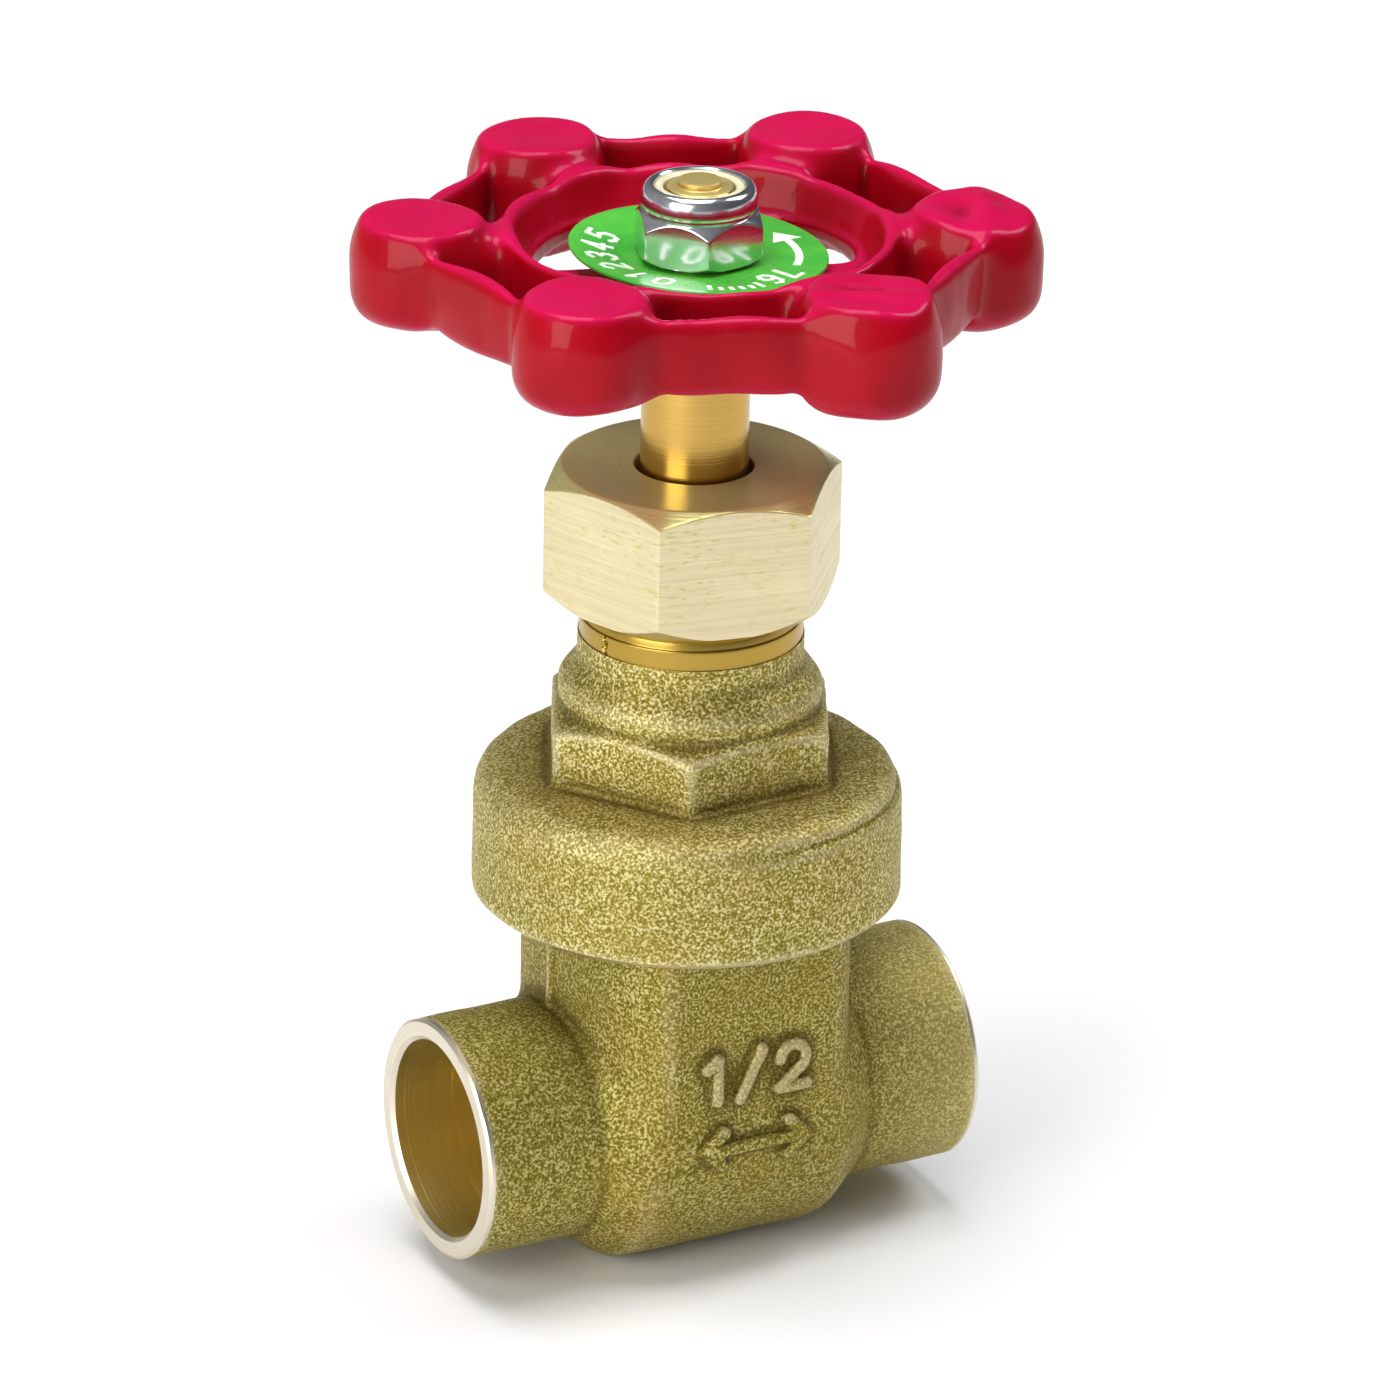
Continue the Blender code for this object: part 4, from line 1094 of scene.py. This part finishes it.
def wheel_field(x, y, z):
    # slow unevenness of the dipped casting
    wave = (
        0.10 * np.sin(0.55 * x + 0.9) * np.sin(0.48 * y - 0.4)
        + 0.06 * np.sin(0.9 * x - 0.5 * y + 1.2) * np.sin(0.8 * z)
    )
    r = np.hypot(x, y)
    theta = np.arctan2(y, x) - math.radians(WHEEL_TURN)
    sector = np.round(theta / (math.pi / 3.0))
    fold = theta - sector * (math.pi / 3.0)
    u, v = r * np.cos(fold), np.abs(r * np.sin(fold))
    # folded about the middle of a rim bar
    half = math.pi / 6.0 - np.abs(fold)
    p, q = r * np.cos(half), r * np.sin(half)

    # lobes
    around = np.hypot(u - 21.35, v)
    belly = 5.5 - 0.012 * (z - 69.6) ** 2
    dent = 0.0
    # one lobe's top slopes down towards the outside of the wheel and to the front
    cx, cy = polar(21.2, -21.35)
    tilt = 0.16 * np.clip((cy - y) * 0.8 + (x - cx) * 0.2 + 1.0, 0.0, 7.0) * (np.hypot(x - cx, y - cy) < 8.0)
    for at, spin in ((-81.35, 0.4), (-21.35, 2.1)):
        cx, cy = polar(21.2, at)
        dx = (x - cx) * math.cos(spin) + (y - cy) * math.sin(spin)
        dy = (y - cy) * math.cos(spin) - (x - cx) * math.sin(spin)
        away = dx * dx + dy * dy
        dent = dent + 0.62 * np.exp(-((dx - 1.4) ** 2 / 4.5 + (dy - 0.8) ** 2 / 2.4))
        dent = dent - 0.26 * np.exp(-((dx + 1.6) ** 2 + (dy + 0.6) ** 2) / 2.6)
        dent = dent + 0.22 * np.sin(1.5 * dx + 1.0 * dy) * np.exp(-away / 14.0)
        dent = dent + 0.35 * np.exp(-((dx + 0.6) ** 2 / 6.0 + (dy + 4.4) ** 2 / 1.4))
    top = z - 74.35 + dent + tilt
    cap = smax(top, (around - 4.70) * 0.78 + top * 0.62, 0.35)
    lobe = smax(around - belly, cap, 1.5)
    # the lobes hang to slightly different depths
    depth = np.interp(sector, [-4.0, -3.0, -2.0, -1.0, 0.0, 1.0, 2.0], [66.15, 66.1, 65.15, 65.25, 65.6, 65.7, 66.15])
    lobe = smax(lobe, depth - z, 2.7)

    # rim bars
    centre_z = 70.3
    bar_out = p - (21.55 - 0.030 * (z - centre_z) ** 2)
    bar_in = (19.75 + 0.025 * (z - centre_z) ** 2 + 0.02 * q * q) - p
    bar = smax(bar_out, bar_in, 0.9)
    bar = smax(bar, z - 73.4, 1.25)
    bar = smax(bar, 66.95 - z, 1.2)

    # inner ring with its dished inside
    dish = 12.95 + 0.44 * np.maximum(z - 69.9, 0.0)
    ring = smax(r - (15.35 - 0.05 * (z - 70.0)), dish - r, 0.5)
    ring = smax(ring, z - 73.1, 0.8)
    ring = smax(ring, 67.3 + 1.55 * np.clip((15.0 - r) / 1.4, 0.0, 1.0) - z, 0.8)

    # spokes between the ring and the lobes
    spoke_half = 2.35 + 0.32 * (73.2 - z)
    spoke = smax(v - spoke_half, z - (72.8 - 0.010 * (u - 17.0) ** 2), 1.6)
    spoke = smax(spoke, 67.2 - z, 1.4)
    spoke = smax(spoke, np.maximum(14.8 - u, u - 20.0), 0.5)

    form = smin(ring, spoke, 1.5)
    form = smin(form, bar, 0.8)
    form = smin(form, lobe, 1.2)

    # floor with its three openings, and the hub
    floor = np.maximum(np.maximum(r - 13.6, z - 69.72), 68.70 - z)
    openings = None
    for middle in HOLE_MIDDLES:
        a = theta + math.radians(WHEEL_TURN) - math.radians(middle)
        a = np.abs((a + math.pi) % (2.0 * math.pi) - math.pi)
        bend = np.maximum(a - math.radians(16.0), 0.0) * 10.0
        hole = np.hypot(np.maximum(np.abs(r - 10.1) - 1.0, 0.0), bend) - 1.95
        openings = hole if openings is None else np.minimum(openings, hole)
    floor = smax(floor, -openings, 0.5)
    form = smin(form, floor, 0.9)
    hub = smax(r - 6.3, 63.45 - z, 1.0)
    hub = np.maximum(hub, z - 69.6)
    form = smin(form, hub, 0.8)
    turn = math.radians(WHEEL_TURN)
    sx, sy = x * math.cos(turn) + y * math.sin(turn), -x * math.sin(turn) + y * math.cos(turn)
    square = np.maximum(np.abs(sx), np.abs(sy)) - 2.9
    form = smax(form, -square, 0.3)
    return form + wave * np.clip((r - 9.0) / 4.0, 0.0, 1.0)


wheel = formed("handwheel_casting", wheel_field, (-27.6, -27.6, 62.9), (27.6, 27.6, 75.2), 0.27, 4)
coat(wheel, PAINT)
store_shading_masks(wheel, wheel_field, 1.2)
wheel.data.shade_smooth()
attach(wheel, STEM)
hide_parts("handwheel")

# ---- identification plate -----------------------------------------------------------------
PLATE_LOW, PLATE_TOP = 70.28, 70.62


def lift_rim(obj):
    """The thin disc is pressed up towards its rim, more on one side, as on the part photographed."""
    mesh = obj.data
    points = np.empty(len(mesh.vertices) * 3, np.float32)
    mesh.vertices.foreach_get("co", points)
    points = points.reshape(-1, 3)
    r = np.hypot(points[:, 0], points[:, 1]) * 1000.0
    a = np.arctan2(points[:, 1], points[:, 0])
    t = np.clip((r - 4.7) / 5.4, 0.0, 1.2)
    points[:, 2] += 0.001 * t * (0.72 + 0.58 * np.cos(a - math.radians(151.6)))
    mesh.vertices.foreach_set("co", points.ravel())
    mesh.update()


plate_rows = [(3.6, PLATE_TOP - 0.02)] + [(r, PLATE_TOP) for r in (3.8, 4.7, 5.6, 6.5, 7.4, 8.3, 9.2, 9.85)]
plate_rows += [(9.97, PLATE_TOP - 0.03), (10.02, PLATE_TOP - 0.12), (10.02, PLATE_LOW + 0.12), (9.97, PLATE_LOW + 0.03)]
plate_rows += [(r, PLATE_LOW) for r in (9.85, 9.2, 8.3, 7.4, 6.5, 5.6, 4.7, 3.8)] + [(3.6, PLATE_LOW + 0.02)]
plate = swept("plate_disc", plate_rows, 192, closed=True)
lift_rim(plate)
coat(plate, GREEN)
shade(plate, 40.0)
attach(plate, STEM)
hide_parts("identification_plate")


FIGURES = {
    "0": [(-0.9, -0.6), (-0.9, 0.6), (-0.4, 1), (0.4, 1), (0.9, 0.6), (0.9, -0.6), (0.4, -1), (-0.4, -1), (-0.9, -0.6)],
    "1": [(-0.5, 0.55), (0.1, 1), (0.1, -1)],
    "2": [(-0.9, 0.6), (-0.4, 1), (0.4, 1), (0.85, 0.6), (0.7, 0.1), (-0.9, -1), (0.9, -1)],
    "3": [(-0.8, 0.8), (-0.3, 1), (0.4, 1), (0.85, 0.65), (0.75, 0.25), (0.1, 0.05), (0.85, -0.25), (0.9, -0.65), (0.4, -1), (-0.35, -1), (-0.9, -0.7)],
    "4": [(0.4, -1), (0.4, 1), (-0.9, -0.4), (0.9, -0.4)],
    "5": [(0.8, 1), (-0.7, 1), (-0.8, 0.1), (0.2, 0.25), (0.9, -0.1), (0.9, -0.6), (0.4, -1), (-0.4, -1), (-0.9, -0.75)],
    "6": [(0.7, 0.9), (0.0, 1), (-0.7, 0.6), (-0.9, -0.5), (-0.4, -1), (0.4, -1), (0.9, -0.6), (0.8, -0.1), (0.2, 0.12), (-0.75, -0.15)],
    "7": [(-0.9, 1), (0.9, 1), (-0.2, -1)],
    "8": [(0.0, 0.05), (-0.7, 0.35), (-0.7, 0.75), (-0.3, 1), (0.3, 1), (0.7, 0.75), (0.7, 0.35), (0.0, 0.05), (-0.85, -0.3), (-0.85, -0.7), (-0.35, -1), (0.35, -1), (0.85, -0.7), (0.85, -0.3), (0.0, 0.05)],
}
FIGURES["9"] = [(-px, -py) for px, py in FIGURES["6"]]


def plate_marks():
    """A dial of plain figures, a curved arrow and a few strokes."""
    build = bmesh.new()
    low, high = (PLATE_TOP - 0.05 + AXIS_Z) * 0.001, (PLATE_TOP + 0.03 + AXIS_Z) * 0.001

    def pad(outline, lift=0.0):
        base = [build.verts.new((x * 0.001, y * 0.001, low)) for x, y in outline]
        top = [build.verts.new((x * 0.001, y * 0.001, high + lift * 0.001)) for x, y in outline]
        n = len(outline)
        build.faces.new(top)
        build.faces.new(base[::-1])
        for i in range(n):
            build.faces.new((base[i], base[(i + 1) % n], top[(i + 1) % n], top[i]))

    def band(inner, outer, start, end, steps):
        edge = [polar(inner, start + (end - start) * i / steps) for i in range(steps + 1)]
        back = [polar(outer, end - (end - start) * i / steps) for i in range(steps + 1)]
        loop = edge + back
        for i in range(steps):
            pad([edge[i], edge[i + 1], back[steps - i - 1], back[steps - i]])

    def stroke(angle, inner, outer, width):
        a = math.radians(angle)
        c, s = math.cos(a), math.sin(a)
        h = width / 2
        pad([(inner * c + h * s, inner * s - h * c), (outer * c + h * s, outer * s - h * c), (outer * c - h * s, outer * s + h * c), (inner * c - h * s, inner * s + h * c)])

    def head(angle, way):
        pad([polar(6.5, angle), polar(7.75, angle + way * 14.0), polar(9.0, angle)][:: 1 if way > 0 else -1])

    def numeral(figure, angle):
        """A figure drawn with straight strokes, its head towards the rim."""
        a = math.radians(angle)
        out, along = (math.cos(a), math.sin(a)), (math.sin(a), -math.cos(a))
        path = [
            (7.75 * out[0] + 0.63 * px * along[0] + 1.10 * py * out[0], 7.75 * out[1] + 0.63 * px * along[1] + 1.10 * py * out[1])
            for px, py in FIGURES[figure]
        ]
        for i, ((x0, y0), (x1, y1)) in enumerate(zip(path, path[1:])):
            dx, dy = x1 - x0, y1 - y0
            size = math.hypot(dx, dy)
            tx, ty = dx / size * 0.19, dy / size * 0.19
            ex, ey = tx * 0.8, ty * 0.8
            x0, y0, x1, y1 = x0 - ex, y0 - ey, x1 + ex, y1 + ey
            pad([(x0 + ty, y0 - tx), (x1 + ty, y1 - tx), (x1 - ty, y1 + tx), (x0 - ty, y0 + tx)], 0.003 * (i + 1))

    for k, figure in enumerate("012345"):
        numeral(figure, 222.0 - 17.4 * k)
    for k, figure in enumerate("67"):
        numeral(figure, -72.0 + 14.0 * k)
    band(7.45, 8.05, -42.0, 0.0, 10)
    head(0.0, 1)
    for k in range(6):
        stroke(-112.0 + 5.6 * k, 8.1 if k % 5 else 7.6, 9.0, 0.36)
    bmesh.ops.recalc_face_normals(build, faces=build.faces)
    mesh = bpy.data.meshes.new("plate_marks")
    build.to_mesh(mesh)
    build.free()
    obj = bpy.data.objects.new("plate_marks", mesh)
    SCENE.objects.link(obj)
    return obj


marks = coat(plate_marks(), WHITE)
lift_rim(marks)
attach(marks, STEM)

# ---- lock nut and its insert ----------------------------------------------------------------
LOCK_CORNER, LOCK_TURN = 5.3, -109.5


def lock_reach(angle, h):
    flat = hexagon_reach(LOCK_CORNER, LOCK_TURN, angle, 0.10)
    top = 4.56 + max(0.0, 74.5 - h) * 0.80
    low = 4.72 + (h - 70.95) * 1.25
    cone = min(top, low)
    return smin(flat, np.full_like(angle, cone), 0.08)


levels = [74.48 - 0.05 * i for i in range(20)] + list(np.linspace(73.4, 71.5, 9)) + [71.45 - 0.04 * i for i in range(13)]
rows = [(3.50, 76.30), (3.53, 76.44), (3.64, 76.56), (3.80, 76.60), (3.98, 76.56), (4.15, 76.45), (4.30, 76.27), (4.41, 76.03), (4.47, 75.75), (4.49, 75.4), (4.49, 75.0), (4.44, 74.86), (4.30, 74.78), (4.30, 74.66), (4.44, 74.58), (4.56, 74.52)]
rows += [(lock_reach, h) for h in levels]
rows += [(4.6, 70.95), (3.4, 70.95), (2.95, 71.25), (2.80, 71.4), (2.80, 75.1), (3.3, 75.2), (3.50, 75.25)]
lock = swept("lock_nut_hex", rows, 288, closed=True, turn=LOCK_TURN)
coat(lock, PLATED)
shade(lock, 26.0)
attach(lock, STEM)
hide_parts("lock_nut")

insert_rows = eased([(2.82, 75.4), (2.82, 76.28), (2.98, 76.40), (3.32, 76.42), (3.48, 76.28), (3.48, 75.4)], 0.08, closed=True)
insert = swept("lock_insert_ring", insert_rows, 120, closed=True)
coat(insert, NYLON)
shade(insert, 40.0)
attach(insert, STEM)
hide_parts("lock_nut_insert")

# ---- pieces kept from the frame ---------------------------------------------------------------
for name, material in (
    ("gate", SEAT),
    ("bonnet_gasket", FIBRE),
    ("stem_thrust_washer", NUT_TOP),
    ("packing_ring_lower", PACKING),
    ("packing_ring_middle", PACKING),
    ("packing_ring_upper", PACKING),
    ("packing_gland", NUT_TOP),
):
    coat(NODES[name], material)

# ---- stage: floor, light and camera ------------------------------------------------------------
floor_mesh = bpy.data.meshes.new("floor")
build = bmesh.new()
bmesh.ops.create_grid(build, x_segments=8, y_segments=8, size=3.0)
build.to_mesh(floor_mesh)
build.free()
floor = bpy.data.objects.new("floor", floor_mesh)
SCENE.objects.link(floor)
floor.location = (0.0, 0.0, CAD_BOX[0][2] - 0.00005)
floor.data.materials.append(pale_floor())

world = bpy.data.worlds.new("studio")
bpy.context.scene.world = world
world.use_nodes = True
tree = world.node_tree
background = tree.nodes["Background"]
position = tree.nodes.new("ShaderNodeTexCoord")
split = tree.nodes.new("ShaderNodeSeparateXYZ")
tree.links.new(position.outputs["Generated"], split.inputs[0])
sky = tree.nodes.new("ShaderNodeValToRGB")
# brighter on the left of the set, dimmer towards its right
slant = tree.nodes.new("ShaderNodeMath")
slant.operation = "MULTIPLY_ADD"
slant.inputs[1].default_value = 0.5
slant.inputs[2].default_value = 0.5
tree.links.new(split.outputs["X"], slant.inputs[0])
sky.color_ramp.elements[0].position = 0.15
sky.color_ramp.elements[0].color = (1.0, 1.0, 1.0, 1.0)
sky.color_ramp.elements[1].position = 0.80
sky.color_ramp.elements[1].color = (0.28, 0.29, 0.31, 1.0)
tree.links.new(slant.outputs[0], sky.inputs["Fac"])
tree.links.new(sky.outputs["Color"], background.inputs["Color"])
background.inputs["Strength"].default_value = 0.33
# what the camera sees directly behind the set is plain and pale
seen = tree.nodes.new("ShaderNodeBackground")
seen.inputs["Color"].default_value = (0.74, 0.74, 0.75, 1.0)
path = tree.nodes.new("ShaderNodeLightPath")
choose = tree.nodes.new("ShaderNodeMixShader")
tree.links.new(path.outputs["Is Camera Ray"], choose.inputs[0])
tree.links.new(background.outputs[0], choose.inputs[1])
tree.links.new(seen.outputs[0], choose.inputs[2])
tree.links.new(choose.outputs[0], tree.nodes["World Output"].inputs["Surface"])


def lamp(name, place_at, aim, size, watts, colour=(1.0, 1.0, 1.0)):
    light = bpy.data.lights.new(name, "AREA")
    light.shape = "RECTANGLE"
    light.size, light.size_y = size
    light.energy = watts
    light.color = colour
    obj = bpy.data.objects.new(name, light)
    SCENE.objects.link(obj)
    obj.location = place_at
    obj.rotation_euler = (Vector(place_at) - Vector(aim)).to_track_quat("Z", "Y").to_euler()
    return obj


AIM = (0.0, 0.0, 0.045)
lamp("top", (-0.10, 0.04, 0.88), AIM, (0.60, 0.60), 6.6)
lamp("key", (-0.64, -0.28, 0.32), AIM, (0.52, 0.50), 4.2)
lamp("right", (0.52, -0.04, 0.60), AIM, (0.26, 0.36), 2.3, (0.95, 0.97, 1.0))

AZIMUTH, ELEVATION, ROLL = (math.radians(v) for v in (28.39, 22.95, 1.17))
back = Vector((-math.sin(AZIMUTH) * math.cos(ELEVATION), -math.cos(AZIMUTH) * math.cos(ELEVATION), math.sin(ELEVATION)))
right = Vector((math.cos(AZIMUTH), -math.sin(AZIMUTH), 0.0))
above = back.cross(right)
across = right * math.cos(ROLL) + above * math.sin(ROLL)
upward = above * math.cos(ROLL) - right * math.sin(ROLL)
target = Vector((0.0, 0.0, (35.0 + AXIS_Z) * 0.001)) + right * 0.00082 - above * 0.00124
eye = target + back * 0.64066
camera_data = bpy.data.cameras.new("camera")
camera_data.sensor_width = 36.0
camera_data.lens = 8171.7 / 1400.0 * 36.0
camera_data.clip_start, camera_data.clip_end = 0.05, 20.0
camera = bpy.data.objects.new("camera", camera_data)
SCENE.objects.link(camera)
camera.matrix_world = Matrix(
    (
        (across.x, upward.x, back.x, eye.x),
        (across.y, upward.y, back.y, eye.y),
        (across.z, upward.z, back.z, eye.z),
        (0.0, 0.0, 0.0, 1.0),
    )
)
bpy.context.scene.camera = camera
bpy.context.scene.view_settings.view_transform = "Standard"
